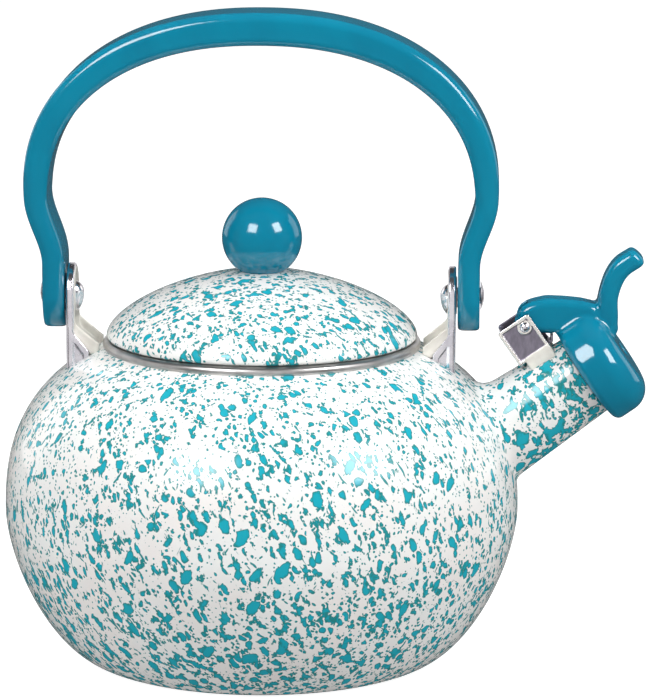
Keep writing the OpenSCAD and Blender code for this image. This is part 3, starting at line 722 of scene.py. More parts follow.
class SpoutSizes(bpy.types.PropertyGroup):
    radius: length("Mouth radius", "Outside radius of the spout's mouth", 15.8)
    taper: number("Taper", "Growth of the radius for each unit towards the body", 0.05)
    upper_fillet: length("Upper fillet", "Reach of the fillet over the spout's root", 6.5)
    lower_fillet: length("Lower fillet", "Reach of the fillet under the spout's root", 2.6)


class CapSizes(bpy.types.PropertyGroup):
    radius: length("Radius", "Radius of the whistle cap", 21)
    front: length("Front", "Distance of the cap's front from the spout's mouth", 17.4)
    front_edge: length("Front edge", "Radius of the cap's front edge", 9)
    rear_edge: length("Rear edge", "Radius of the cap's rear edge", 2.8)
    width: length("Arm width", "Width of the hinge arm and thumb lever", 12.8)
    soft: length("Edge softness", "Rounding of the arm's and lever's edges", 2.9)


class FinishColours(bpy.types.PropertyGroup):
    enamel_white: tint("Enamel white", "White ground of the body", (0.86, 0.88, 0.87))
    enamel_shade: tint("Enamel shade", "Warmer patches of the white ground", (0.87, 0.85, 0.83))
    splatter_core: tint("Splatter", "Middle of the splatter's drops", (0.014, 0.40, 0.51))
    splatter_edge: tint("Splatter edge", "Thin edge of the splatter's drops", (0.02, 0.24, 0.245))
    lug_cream: tint("Lug cream", "Plain enamel of the lugs and the saddle", (0.86, 0.83, 0.76))
    lug_shade: tint("Lug shade", "Darker patches of the plain enamel", (0.74, 0.70, 0.64))
    phenolic: tint("Phenolic", "Teal of the handle, knob and cap", (0.003, 0.222, 0.345))
    phenolic_deep: tint("Phenolic shade", "Deeper flow marks in the teal", (0.003, 0.192, 0.305))
    # Painted shade: the dark colour put in the clip's pressed panels.
    panel: tint("Clip panel", "Dull pressed panels of the hinge clip", (0.33, 0.30, 0.37))
    floor: tint("Floor", "Colour of the floor", (0.93, 0.93, 0.93))


class StageSetup(bpy.types.PropertyGroup):
    aim: bpy.props.FloatVectorProperty(
        name="Aim",
        description="Point that the camera looks at",
        default=(0.0239, 0, 0.1163),
        subtype="XYZ",
        unit="LENGTH",
    )
    distance: length("Distance", "Distance from the camera to its aim", 1500)
    azimuth: angle("Azimuth", "Turn of the camera towards the spout", 2.2)
    elevation: angle("Elevation", "Height of the camera over the horizon", 11.04)
    roll: angle("Roll", "Turn of the camera about its own axis", 0.2)
    lens: number("Lens", "Focal length for a sensor 36 wide", 220.8)
    key_left: number("Left window", "Radiance of the left softbox", 10.3)
    key_right: number("Right window", "Radiance of the right softbox", 10.6)
    overhead: number("Overhead", "Radiance of the overhead softbox", 1.75)
    bounce: number("Bounce", "Radiance of the light that the floor throws back", 0.56)
    back: number("Back", "Radiance of the two softboxes behind the kettle", 1.0)
    fill: number("Fill", "Radiance of the fill on either side", 1.35)
    card: number("Cards", "Radiance of the cards that the bare metal mirrors", 0.7)
    room: number("Room", "Brightness of the room around the kettle", 0.36)


# Shapes of the kettle's body that several pieces meet


def rise_of(b):
    """Height that the shoulder's curve would reach on the axis."""
    return (b.shoulder - b.belly) / (1 - (b.mouth / b.radius) ** b.high_curve) ** (1 / b.high_curve)


def shoulder_height(b, radius):
    return b.belly + rise_of(b) * (1 - (radius / b.radius) ** b.high_curve) ** (1 / b.high_curve)


def body_line(b):
    """Outside of the body from the base's edge up to the mouth."""
    t = np.linspace(0, math.pi / 2, 400)[:, None]
    low = np.hstack(
        [
            b.base + (b.radius - b.base) * np.sin(t) ** (2 / b.low_curve),
            b.belly * (1 - np.cos(t) ** (2 / b.low_curve)),
        ]
    )
    end = math.acos((b.mouth / b.radius) ** (b.high_curve / 2))
    t = np.linspace(0, end, 400)[1:, None]
    high = np.hstack(
        [
            b.radius * np.cos(t) ** (2 / b.high_curve),
            b.belly + rise_of(b) * np.sin(t) ** (2 / b.high_curve),
        ]
    )
    return np.vstack([low, high])


def body_field(b, x, y, z):
    """Distance outside the body's shoulder, good near its surface."""
    p = b.high_curve
    r = np.hypot(x, y) / b.radius
    h = np.maximum(z - b.belly, 0) / rise_of(b)
    total = np.maximum(r**p + h**p, 1e-6)
    whole = total ** (1 / p)
    scale = total ** (1 / p - 1)
    slope = np.hypot(r ** (p - 1) * scale / b.radius, h ** (p - 1) * scale / rise_of(b))
    return (whole - 1) / np.maximum(slope, 1e-4)


def on_spout(s, radius, angle):
    """A point s back from the spout's mouth, out from its axis by radius. Angle 0 is its upper side."""
    return from_spout(np.stack([-s + 0 * angle, radius * np.sin(angle), radius * np.cos(angle)], -1))


class KETTLE_OT_body(bpy.types.Operator):
    """Builds the enamelled body and opens it towards the spout"""

    bl_idname = "kettle.body"
    bl_label = "Body"

    def execute(self, context):
        b = in_mm(context.scene.kettle_body)
        line = body_line(b)
        outside = even(line, 1.7)
        inside = even(inset(line, b.wall)[4:], 3.4)[::-1]
        lip = arc(b.mouth - b.wall / 2, b.lip - b.wall / 2, b.wall / 2, 0, 180, 6)
        profile = np.vstack([[[0, 0]], [[b.base * 0.5, 0]], outside, lip, inside, [[0, b.wall]]])
        body = turned("enamel_body", profile, spokes=256)
        s = in_mm(context.scene.kettle_spout)
        bore = s.radius - b.wall
        back, front = 64, 16
        cone = [[0, -back], [bore + s.taper * back, -back], [bore + s.taper * front, -front], [0, -front]]
        cut_away(body, turned("bore_cutter", cone, axis="spout", spokes=96))
        fitted(body, "kettle", "speckled_enamel", "body_shell")
        return {"FINISHED"}


class KETTLE_OT_rim(bpy.types.Operator):
    """Builds the rolled steel rim with its skirt inside the mouth"""

    bl_idname = "kettle.rim"
    bl_label = "Rim"

    def execute(self, context):
        b = in_mm(context.scene.kettle_body)
        low, high = span("rim_ring")
        centre_r, centre_z = high[0] - b.bead, high[2] - b.bead
        outer, inner = b.mouth - b.wall, b.mouth - b.wall - 1
        meet = math.degrees(math.acos((inner - centre_r) / b.bead))
        bead = arc(centre_r, centre_z, b.bead, 360 - meet, -58, 40)
        foot = arc((outer + inner) / 2, low[2] + 0.5, 0.5, 360, 180, 8)
        profile = np.vstack([foot, [[inner, low[2] + 3]], bead, [[outer, centre_z - 2]]])
        rim = turned("rolled_rim", profile, spokes=256)
        fitted(rim, "kettle", "polished_steel", "rim_ring")
        return {"FINISHED"}


class KETTLE_OT_spout(bpy.types.Operator):
    """Builds the spout, filleted into the shoulder and open to the body's hollow"""

    bl_idname = "kettle.spout"
    bl_label = "Spout"

    def execute(self, context):
        b = in_mm(context.scene.kettle_body)
        s = in_mm(context.scene.kettle_spout)
        angle = np.linspace(0, 2 * math.pi, 160, endpoint=False)

        def meeting(radius_at, depth):
            near, far = np.full(len(angle), 8.0), np.full(len(angle), 70.0)
            for _ in range(40):
                middle = (near + far) / 2
                p = on_spout(middle, radius_at(middle), angle)
                outside = body_field(b, p[:, 0], p[:, 1], p[:, 2]) > -depth
                near, far = np.where(outside, middle, near), np.where(outside, far, middle)
            return near

        def outer_radius(d):
            return s.radius + s.taper * d

        def bore_radius(d):
            return s.radius - b.wall + s.taper * d

        root = meeting(outer_radius, 0.0)
        reach = s.lower_fillet + (s.upper_fillet - s.lower_fillet) * (0.5 + 0.5 * np.cos(angle)) ** 1.5
        corner = on_spout(root, outer_radius(root), angle)
        up_spout = on_spout(root - reach, outer_radius(root - reach), angle)
        on_body = on_spout(root, outer_radius(root) + reach, angle)
        for _ in range(8):
            d = body_field(b, *on_body.T)
            h = 0.01
            g = np.stack([(body_field(b, *(on_body + h * e).T) - d) / h for e in np.eye(3)], 1)
            on_body = on_body - (d + 0.04)[:, None] * g / (g * g).sum(1)[:, None]
        rings = []
        for t in np.linspace(0, 1, 12):
            rings.append((1 - t) ** 2 * on_body + 2 * t * (1 - t) * corner + t * t * up_spout)

        def stretch(first, last, radius_at, count):
            """Rings from one distance behind the mouth to another, without the first."""
            backs = [first * (1 - t) + last * t for t in np.linspace(0, 1, count)[1:]]
            return [on_spout(back, radius_at(back), angle) for back in backs]

        lip = b.wall / 2
        rings += stretch(root - reach, lip, outer_radius, 16)
        for a in np.radians(np.linspace(0, 180, 9)[1:]):
            rings.append(on_spout(lip - lip * np.sin(a), s.radius - lip + lip * np.cos(a), angle))
        rings += stretch(lip, meeting(bore_radius, b.wall), bore_radius, 14)
        spout = skinned("enamel_spout", rings)
        fitted(spout, "kettle", "speckled_enamel", "spout")
        return {"FINISHED"}


def lid_line(sizes, edge_z, rise):
    t0 = math.acos((sizes.land / sizes.radius) ** (sizes.curve / 2))
    t = np.linspace(0, t0, 300)[:, None]
    return np.hstack(
        [
            sizes.radius * np.cos(t) ** (2 / sizes.curve),
            edge_z + rise * np.sin(t) ** (2 / sizes.curve),
        ]
    )


def lid_shape(sizes):
    """The dome's outer line, its inner line and the height of the land."""
    low, high = span("lid_shell")
    edge_z = low[2] + sizes.roll
    share = (1 - (sizes.land / sizes.radius) ** sizes.curve) ** (1 / sizes.curve)
    line = lid_line(sizes, edge_z, (high[2] - edge_z) / share)
    return line, inset(line, sizes.wall)[3:], high[2], edge_z


class KETTLE_OT_lid(bpy.types.Operator):
    """Builds the domed lid with its rolled edge"""

    bl_idname = "kettle.lid"
    bl_label = "Lid"

    def execute(self, context):
        sizes = in_mm(context.scene.kettle_lid)
        line, inner, land_z, edge_z = lid_shape(sizes)
        hole = 2.2
        dome = even(line, 1.3)
        roll_c = sizes.radius - sizes.roll
        roll = arc(roll_c, edge_z, sizes.roll, -180, 0, 18)
        under = even(inner[inner[:, 0] < roll_c - sizes.roll * 0.4], 1.8)
        profile = np.vstack([roll, dome[1:], [[hole, land_z], [hole, land_z - sizes.wall]], under[::-1]])
        lid = turned("enamel_lid", profile, spokes=256)
        fitted(lid, "lid", "speckled_enamel", "lid_shell")
        return {"FINISHED"}


class KETTLE_OT_lid_band(bpy.types.Operator):
    """Builds the steel collar that drops into the mouth, welded under the lid by its flange"""

    bl_idname = "kettle.lid_band"
    bl_label = "Lid collar"

    def execute(self, context):
        sizes = in_mm(context.scene.kettle_lid)
        low, high = span("lid_collar")
        line, inner, land_z, edge_z = lid_shape(sizes)
        under = inner[::-1]
        outer = high[0]
        r = np.linspace(outer - 5, outer, 14)
        top = np.interp(r, under[:, 0], under[:, 1]) - 0.02
        half = sizes.collar_wall / 2
        foot = arc(outer - half, low[2] + half, half, 360, 180, 8)
        upper = np.stack([r, top], 1)
        lower = upper[:-2] - [0, sizes.collar_wall]
        profile = np.vstack([foot, [[outer - sizes.collar_wall, lower[-1][1] - 0.2]], lower[::-1], upper])
        band = turned("lid_band", profile, spokes=256)
        fitted(band, "lid", "polished_steel", "lid_collar")
        return {"FINISHED"}


class KETTLE_OT_knob(bpy.types.Operator):
    """Builds the ball knob with its flat foot"""

    bl_idname = "kettle.knob"
    bl_label = "Knob"

    def execute(self, context):
        low, high = span("lid_knob")
        radius = high[0]
        centre = high[2] - radius
        foot = math.sqrt(radius**2 - (centre - low[2]) ** 2)
        lowest = -math.degrees(math.asin((centre - low[2]) / radius))
        ball = arc(0, centre, radius, 90, lowest + 1.4, 84)
        end = ball[-1]
        round_foot = softened([[*end], [foot, low[2], 0.5], [foot - 1.2, low[2]]], 5)[1:-1]
        depth = span("knob_insert")[1][2]
        hole = span("knob_insert")[1][0]
        profile = np.vstack([ball, round_foot, [[hole, low[2]], [hole, depth], [0, depth]]])
        knob = turned("ball_knob", profile, spokes=128)
        fitted(knob, "lid", "teal_phenolic", "lid_knob")
        return {"FINISHED"}


class KETTLE_OT_knob_fixings(bpy.types.Operator):
    """Builds the knob's brass insert, its screw and the washer under the lid"""

    bl_idname = "kettle.knob_fixings"
    bl_label = "Knob fixings"

    def execute(self, context):
        low, high = span("knob_insert")
        bore, shy = 2.0, 0.3
        ridges = []
        for k, z in enumerate(np.linspace(low[2] + shy, high[2] - shy, 25)):
            ridges.append([high[0] - (0.0 if k % 2 else 0.22), z])
        lower = [[bore, high[2]], [bore, low[2]], [high[0] - shy, low[2]]]
        profile = np.vstack([lower, ridges, [[high[0] - shy, high[2]]]])
        insert = turned("brass_insert", profile, spokes=64)
        fitted(insert, "lid", "brass_insert", "knob_insert")
        low, high = span("knob_screw")
        seat = low[2] + 2.4
        head = arc(0, seat - 0.3, 3.8, 0, -90, 12)
        head[:, 1] = seat - 0.3 + (head[:, 1] - seat + 0.3) * (2.1 / 3.8)
        thread = []
        for k, z in enumerate(np.linspace(high[2] - 0.6, seat + 0.4, 29)):
            thread.append([2.0 if k % 2 else 1.72, z])
        tip = [[0, high[2]], [1.3, high[2]]]
        under_head = [[2.0, seat], [3.6, seat], [3.8, seat - 0.3]]
        profile = np.vstack([tip, thread, under_head, head[1:]])
        screw = turned("lid_screw", profile, spokes=64)
        slot = [[-0.45, -4.5], [0.45, -4.5], [0.45, 4.5], [-0.45, 4.5]]
        base, top = low[2] - 0.5, low[2] + 0.9
        for turn in (0, 1):
            rings = [[[p[turn], p[1 - turn], z] for p in slot] for z in (base, top)]
            cutter = skinned("slot_cutter", rings, closed=False, capped=True)
            for v in cutter.data.vertices:
                v.co.x, v.co.y = v.co.x * 0.5, v.co.y * 0.5
            cut_away(screw, cutter)
        fitted(screw, "lid", "polished_steel", "knob_screw")
        low, high = span("knob_washer")
        corners = [[2.1, low[2], 0.1], [high[0], low[2], 0.25], [high[0], high[2], 0.25], [2.1, high[2], 0.1]]
        washer = turned("lid_washer", softened(corners), spokes=96)
        fitted(washer, "lid", "polished_steel", "knob_washer")
        return {"FINISHED"}


class KETTLE_OT_handle(bpy.types.Operator):
    """Builds the folding handle in one sweep and drills its pivots"""

    bl_idname = "kettle.handle"
    bl_label = "Handle"

    def execute(self, context):
        h = in_mm(context.scene.kettle_handle)
        low, high = span("handle_bail")
        depth = high[1]
        inner, outer = span("handle_bushing_right")[0][0], span("handle_bushing_right")[1][0]
        arm_x = (inner + outer) / 2
        bend_z = PIVOT_Z + h.rise
        arch_z = bend_z + h.bend
        arch_a = arm_x + h.out
        arch_rise = high[2] - h.top / 2 - arch_z
        rows = []
        end_round = 1.3
        for a in np.radians(np.concatenate([np.linspace(86, 60, 12), np.linspace(57, 0, 16)])):
            short = depth * (1 - math.sin(a))
            trim = 0 if short >= end_round else end_round - math.sqrt(end_round**2 - (end_round - short) ** 2)
            rows.append([arm_x, PIVOT_Z - depth * math.sin(a), depth * math.cos(a), h.arm - 2 * trim])
        for k in np.linspace(0, 1, 5)[1:]:
            rows.append([arm_x, PIVOT_Z + h.rise * k, depth, h.arm])
        for k in np.linspace(0, 1, 17)[1:-1]:
            ease = (1 - math.cos(math.pi * k)) / 2
            rows.append([arm_x + h.out * ease, bend_z + h.bend * k, depth, h.arm + (h.side - h.arm) * k])
        fine = np.radians(np.linspace(0, 90, 400))
        arch = np.stack(
            [
                arch_a * np.maximum(np.cos(fine), 0) ** (2 / h.curve),
                arch_z + arch_rise * np.sin(fine) ** (2 / h.curve),
                np.full(400, depth),
                h.side + (h.top - h.side) * np.sin(fine) ** 0.75,
            ],
            1,
        )
        run = np.concatenate([[0], np.cumsum(np.linalg.norm(np.diff(arch[:, :2], axis=0), axis=1))])
        where = np.linspace(0, run[-1], 44)
        rows += np.stack([np.interp(where, run, arch[:, k]) for k in range(4)], 1).tolist()
        rows = np.array(rows)
        other = rows[-2::-1].copy()
        other[:, 0] *= -1
        rows = np.vstack([rows, other])
        lead = np.gradient(rows[:, :2], axis=0)
        lead[0], lead[-1] = lead[1], lead[-2]
        lead = np.array([lead[max(i - 1, 0) : i + 2].mean(0) for i in range(len(lead))])
        normal = np.stack([lead[:, 1], -lead[:, 0]], 1)
        normal /= np.linalg.norm(normal, axis=1, keepdims=True)
        rings = []
        for row, n in zip(rows, normal):
            a, b = row[3] / 2, row[2]
            r = min(h.edge, b * 0.9, row[3] * 0.45)
            corners = [[a, b, r], [-a, b, r], [-a, -b, r], [a, -b, r]]
            ring = []
            for (cu, cv, cr), start in zip(corners, (0, 90, 180, 270)):
                t = np.radians(np.linspace(start, start + 90, 8))
                mu, mv = cu - math.copysign(cr, cu), cv - math.copysign(cr, cv)
                ring.append(np.stack([mu + cr * np.cos(t), mv + cr * np.sin(t)], 1))
            ring = np.vstack(ring)
            long_side = [ring[15] + (ring[16] - ring[15]) * k for k in (0.25, 0.5, 0.75)]
            far_side = [ring[31] + (ring[0] - ring[31]) * k for k in (0.25, 0.5, 0.75)]
            ring = np.vstack([ring[:16], long_side, ring[16:], far_side])
            rings.append([[row[0] + n[0] * p[0], -p[1], row[1] + n[1] * p[0]] for p in ring])
        handle = skinned("bail_handle", rings, closed=False, capped=True)
        bush = span("handle_bushing_right")[1][1]
        for side in (-1, 1):
            profile = [[0, -12], [bush, -12], [bush, 12], [0, 12]]
            drill = turned("drill", profile, axis="side", spokes=64, start=(side * arm_x, 0, PIVOT_Z))
            cut_away(handle, drill)
        fitted(handle, "handle", "teal_phenolic", "handle_bail")
        return {"FINISHED"}


def dome_of(radius, height):
    """The ball that a shallow dome is cut from: its radius, and the half angle that the dome spans."""
    ball = (radius**2 + height**2) / (2 * height)
    return ball, math.asin(radius / ball)


class KETTLE_OT_pivots(bpy.types.Operator):
    """Builds the handle's rivets, bushings and thin washers"""

    bl_idname = "kettle.pivots"
    bl_label = "Handle pivots"

    def execute(self, context):
        low, high = span("pivot_rivet_right")
        head = high[1]
        head_x = span("handle_bushing_right")[1][0] + 0.3
        inner_x = span("lug_right")[1][0] - 1.9
        shank, dome, button_h = 3.0, 4.2, 2.8
        crown = high[0] - head_x
        ball, wide = dome_of(head, crown)
        spread = np.linspace(0, wide * 0.985, 16)
        top = [[ball * math.sin(t), high[0] - ball * (1 - math.cos(t))] for t in spread]
        rim = [[head, head_x + 0.12], [head - 0.12, head_x]]
        ball, wide = dome_of(dome, button_h)
        lowest = inner_x - button_h
        button = [[ball * math.sin(t), lowest + ball * (1 - math.cos(t))] for t in np.linspace(wide, 0, 16)]
        neck = [[shank + 0.2, head_x], [shank, head_x - 0.2], [shank, inner_x]]
        profile = np.vstack([top, rim, neck, button])
        rivet = turned("rivet_right", profile, axis="side", spokes=96, start=(0, 0, PIVOT_Z))
        for v in rivet.data.vertices:
            drop = PIVOT_Z / 1000 - v.co.z
            if v.co.x * 1000 < inner_x + 0.05 and drop > 0:
                v.co.z -= drop * 0.75
        fitted_pair(rivet, "kettle", "bright_steel", "pivot_rivet")
        low, high = span("handle_bushing_right")
        corners = [[3.05, low[0], 0.15], [high[1], low[0], 0.1]]
        corners += [[high[1], high[0], 0.1], [3.05, high[0], 0.15]]
        bush = turned("bushing_right", softened(corners), axis="side", spokes=96, start=(0, 0, PIVOT_Z))
        fitted_pair(bush, "handle", "polished_steel", "handle_bushing")
        low, high = span("pivot_washer_right")
        corners = [[3.0, low[0]], [high[1], low[0], 0.1], [high[1], high[0], 0.15], [3.0, high[0]]]
        washer = turned("washer_right", softened(corners), axis="side", spokes=96, start=(0, 0, PIVOT_Z))
        fitted_pair(washer, "kettle", "polished_steel", "pivot_washer")
        return {"FINISHED"}


def ear_field(y, z, radius, bottom):
    """The bracket's face: a round top on a straight strip."""
    return join(disc_field(y, z, 0, PIVOT_Z, radius), block_field(y, z, (-radius, bottom), (radius, PIVOT_Z)))


class KETTLE_OT_brackets(bpy.types.Operator):
    """Presses the two bright brackets with their folded edges and gussets"""

    bl_idname = "kettle.brackets"
    bl_label = "Brackets"

    def execute(self, context):
        b = in_mm(context.scene.kettle_body)
        low, high = span("bracket_right")
        face, ear, thick, fold = high[0], high[1], 1.2, 2.9
        shoulder = shoulder_height(b, face)
        gusset_z = shoulder + 13.4
        inner_x = face - 8.4
        inner_z = shoulder_height(b, inner_x) + 1.6
        gusset = [
            [face - 0.9, gusset_z + 3],
            [face - fold, gusset_z],
            [inner_x, inner_z],
            [inner_x, shoulder - 8],
            [face - 0.9, shoulder - 8],
        ]
        rim = 2.2
        recess = [
            [face - rim, gusset_z - 3],
            [inner_x + rim, inner_z - 1.6],
            [inner_x + rim, shoulder - 4],
            [face - rim, shoulder - 4],
        ]

        def field(x, y, z):
            outer = slab_field(ear_field(y, z, ear, shoulder - 22), x, face - fold, face, 0.9)
            hollow = slab_field(ear_field(y, z, ear - thick, shoulder - 30), x, face - 20, face - thick, 0.4)
            shape = without(outer, hollow, 0.25)
            wing = slab_field(outline_field(x, z, gusset), np.abs(y), ear - thick, ear, 0.35)
            pressed = slab_field(outline_field(x, z, recess), np.abs(y), ear - 0.4, ear + 2, 0.2)
            wing = without(wing, pressed, 0.5)
            shape = join(shape, wing, 0.8)
            hole = slab_field(disc_field(y, z, 0, PIVOT_Z, 3.0), x, face - 20, face + 5)
            shape = without(shape, hole, 0.15)
            return without(shape, body_field(b, x, y, z), 0.15)

        bracket = carved("ear_bracket_right", field, [inner_x - 1, -ear, low[2] - 1], high, 0.3)
        fitted_pair(bracket, "kettle", "bright_steel", "bracket")
        return {"FINISHED"}


class KETTLE_OT_lugs(bpy.types.Operator):
    """Forms the two enamelled lugs: a sloping channel that turns up inside its bracket"""

    bl_idname = "kettle.lugs"
    bl_label = "Lugs"

    def execute(self, context):
        b = in_mm(context.scene.kettle_body)
        low, high = span("lug_right")
        foot_x, plate_in, half, thick = low[0], high[0], high[1], 1.9
        back_x = plate_in - thick
        slope = math.radians(40)
        strap_z = shoulder_height(b, plate_in + 1.2) + 12.0
        drop = (plate_in - foot_x) * math.tan(slope)
        web = thick / math.cos(slope)
        wall = 1.2
        edge = [[plate_in, strap_z], [foot_x, strap_z - drop]]
        sloping = edge + [[foot_x, strap_z - drop + web], [plate_in, strap_z + web]]
        cheek = edge + [[foot_x, strap_z - drop + 6.4], [back_x, strap_z + 4.8], [plate_in, strap_z + 4.8]]

        def field(x, y, z):
            plate = common(ear_field(y, z, half, strap_z - 30), strap_z - z)
            upright = slab_field(plate, x, back_x, plate_in, 0.5)
            strap = slab_field(outline_field(x, z, sloping), y, -half, half, 0.5)
            walls = slab_field(outline_field(x, z, cheek), np.abs(y), half - wall, half, 0.45)
            shape = join(join(upright, strap, 1.6), walls, 1.1)
            shape = without(shape, slab_field(disc_field(y, z, 0, PIVOT_Z, 3.0), x, 0, 200), 0.1)
            return without(shape, body_field(b, x, y, z), 0.1)

        lug = carved("shoulder_lug_right", field, [foot_x - 0.5, -half, low[2] - 1], high, 0.34)
        fitted_pair(lug, "kettle", "plain_enamel", "lug")
        return {"FINISHED"}


CLIP_FRONT, CLIP_BACK, CLIP_FLOOR, CLIP_TOP, CHEEK = -3.9, -17.4, 18.7, 32.5, 7.8


class KETTLE_OT_clip(bpy.types.Operator):
    """Builds the saddle on the spout, the bright clip in it and the hinge pin"""

    bl_idname = "kettle.clip"
    bl_label = "Hinge clip"

    def execute(self, context):
        s = in_mm(context.scene.kettle_spout)

        def cone(x, y, z):
            return (np.hypot(y, z) - s.radius + s.taper * x) * 0.998

        def saddle(x, y, z):
            block = block_field(x, z, (CLIP_FRONT - 10.8, -2), (CLIP_FRONT, 19.1), 0.6)
            shape = slab_field(block, y, -8.8, 8.8, 0.6)
            slot = block_field(y, z, (-CHEEK, CLIP_FLOOR - 1), (CHEEK, 60), 0.2)
            return without(without(shape, slot, 0.2), cone(x, y, z), 0.1)

        low, high = [CLIP_FRONT - 10.8, -8.8, 8], [CLIP_FRONT, 8.8, 19.1]
        made = carved("spout_saddle", saddle, low, high, 0.3, from_spout)
        fitted(made, "kettle", "plain_enamel", "hinge_saddle")

        def clip(x, y, z):
            side = block_field(x, z, (CLIP_BACK, CLIP_FLOOR - 1), (CLIP_FRONT, CLIP_TOP), 1.0)
            cheeks = slab_field(side, np.abs(y), CHEEK - 1, CHEEK, 0.28)
            panel = (CLIP_BACK + 0.9, CLIP_FLOOR - 4), (CLIP_FRONT - 1.3, CLIP_TOP - 1.3)
            window = slab_field(block_field(x, z, *panel, 0.6), np.abs(y), CHEEK - 0.38, CHEEK + 2, 0.1)
            cheeks = without(cheeks, window, 0.3)
            boss = disc_field(x, z, -PIN_BACK, PIN_UP, 2.7)
            cheeks = join(cheeks, slab_field(boss, np.abs(y), CHEEK - 1, CHEEK - 0.05, 0.2), 0.5)
            floor = block_field(x, z, (CLIP_BACK, CLIP_FLOOR - 1), (CLIP_FRONT, CLIP_FLOOR), 0.2)
            floor = slab_field(floor, y, -CHEEK, CHEEK, 0.2)
            back = block_field(x, z, (CLIP_BACK, CLIP_FLOOR - 1), (CLIP_BACK + 1, CLIP_TOP - 1), 0.45)
            back = slab_field(back, y, -CHEEK, CHEEK, 0.4)
            tongue = [
                [CLIP_FRONT - 1, CLIP_FLOOR - 1],
                [CLIP_FRONT + 1.5, CLIP_FLOOR - 1],
                [CLIP_FRONT + 3, CLIP_FLOOR + 1.2],
                [CLIP_FRONT + 2, CLIP_FLOOR + 1.6],
                [CLIP_FRONT + 1, CLIP_FLOOR],
                [CLIP_FRONT - 1, CLIP_FLOOR],
            ]
            tongue = slab_field(outline_field(x, z, tongue), y, -3.5, 3.5, 0.25)
            shape = join(join(join(cheeks, floor, 0.7), back, 0.9), tongue, 0.4)
            hole = slab_field(disc_field(x, z, -PIN_BACK, PIN_UP, 1.2), y, -20, 20)
            return without(shape, hole, 0.1)

        low, high = [CLIP_BACK, -CHEEK, CLIP_FLOOR - 1], [CLIP_FRONT + 3, CHEEK, CLIP_TOP]
        made = carved("spout_clip", clip, low, high, 0.24, from_spout)
        fitted(made, "kettle", "bright_steel", "hinge_clip", finish=FINISHES["clip_steel"])
        head, height, shank = 1.92, 1.08, 1.2
        ball, wide = dome_of(head, height)
        spread = np.linspace(0, wide, 12)
        near = [[ball * math.sin(t), CHEEK + height - ball * (1 - math.cos(t))] for t in spread]
        profile = np.vstack([near, [[shank, CHEEK], [shank, -CHEEK]], [[r, -y] for r, y in near[::-1]]])
        angles = np.linspace(0, 2 * math.pi, 48, endpoint=False)
        rings = []
        for r, y in profile:
            ring = [-PIN_BACK + r * np.cos(angles), np.full(48, y), PIN_UP + r * np.sin(angles)]
            rings.append(from_spout(np.stack(ring, 1)))
        fitted(skinned("clip_pin", rings), "kettle", "bright_steel", "hinge_pin")
        return {"FINISHED"}


class KETTLE_OT_spring(bpy.types.Operator):
    """Winds the torsion spring round the hinge pin"""

    bl_idname = "kettle.spring"
    bl_label = "Cap spring"

    def execute(self, context):
        turns, radius, wire, leg, start = 5, 2.2, 0.4, 4.6, math.radians(-65)
        pitch = 0.92
        half = turns * pitch / 2
        a = np.linspace(0, 2 * math.pi * turns, turns * 36 + 1)
        aside = -half + pitch * a / (2 * math.pi)
        coil = [-PIN_BACK + radius * np.cos(a + start), aside, PIN_UP + radius * np.sin(a + start)]
        coil = np.stack(coil, 1)
        lead_in = np.array([-math.sin(start), 0, math.cos(start)])
        first = [coil[0] - lead_in * leg * k for k in (1.0, 0.75, 0.5, 0.25)]
        last = [coil[-1] + lead_in * leg * k for k in (0.25, 0.5, 0.75, 1.0)]
        line = np.vstack([first, coil, last])
        lead = np.gradient(line, axis=0)
        lead /= np.linalg.norm(lead, axis=1, keepdims=True)
        side = np.cross(lead, [0, 1.0, 0])
        side /= np.linalg.norm(side, axis=1, keepdims=True)
        up = np.cross(side, lead)
        t = np.linspace(0, 2 * math.pi, 14, endpoint=False)[None, :, None]
        rings = line[:, None] + wire * (np.cos(t) * side[:, None] + np.sin(t) * up[:, None])
        spring = skinned("coil_spring", from_spout(rings), closed=False, capped=True)
        fitted(spring, "kettle", "spring_steel", "cap_spring")
        return {"FINISHED"}


def threaded(points, steps):
    """A smooth line of [x, z, radius] through the points."""
    p = np.asarray(points, float)
    p = np.vstack([2 * p[0] - p[1], p, 2 * p[-1] - p[-2]])
    made = []
    for i in range(1, len(p) - 2):
        a, b, c, d = p[i - 1 : i + 3]
        for t in np.linspace(0, 1, steps, endpoint=False):
            bend, twist = 2 * a - 5 * b + 4 * c - d, 3 * b - a - 3 * c + d
            made.append(0.5 * (2 * b + (c - a) * t + bend * t**2 + twist * t**3))
    return np.array(made + [p[-2]])


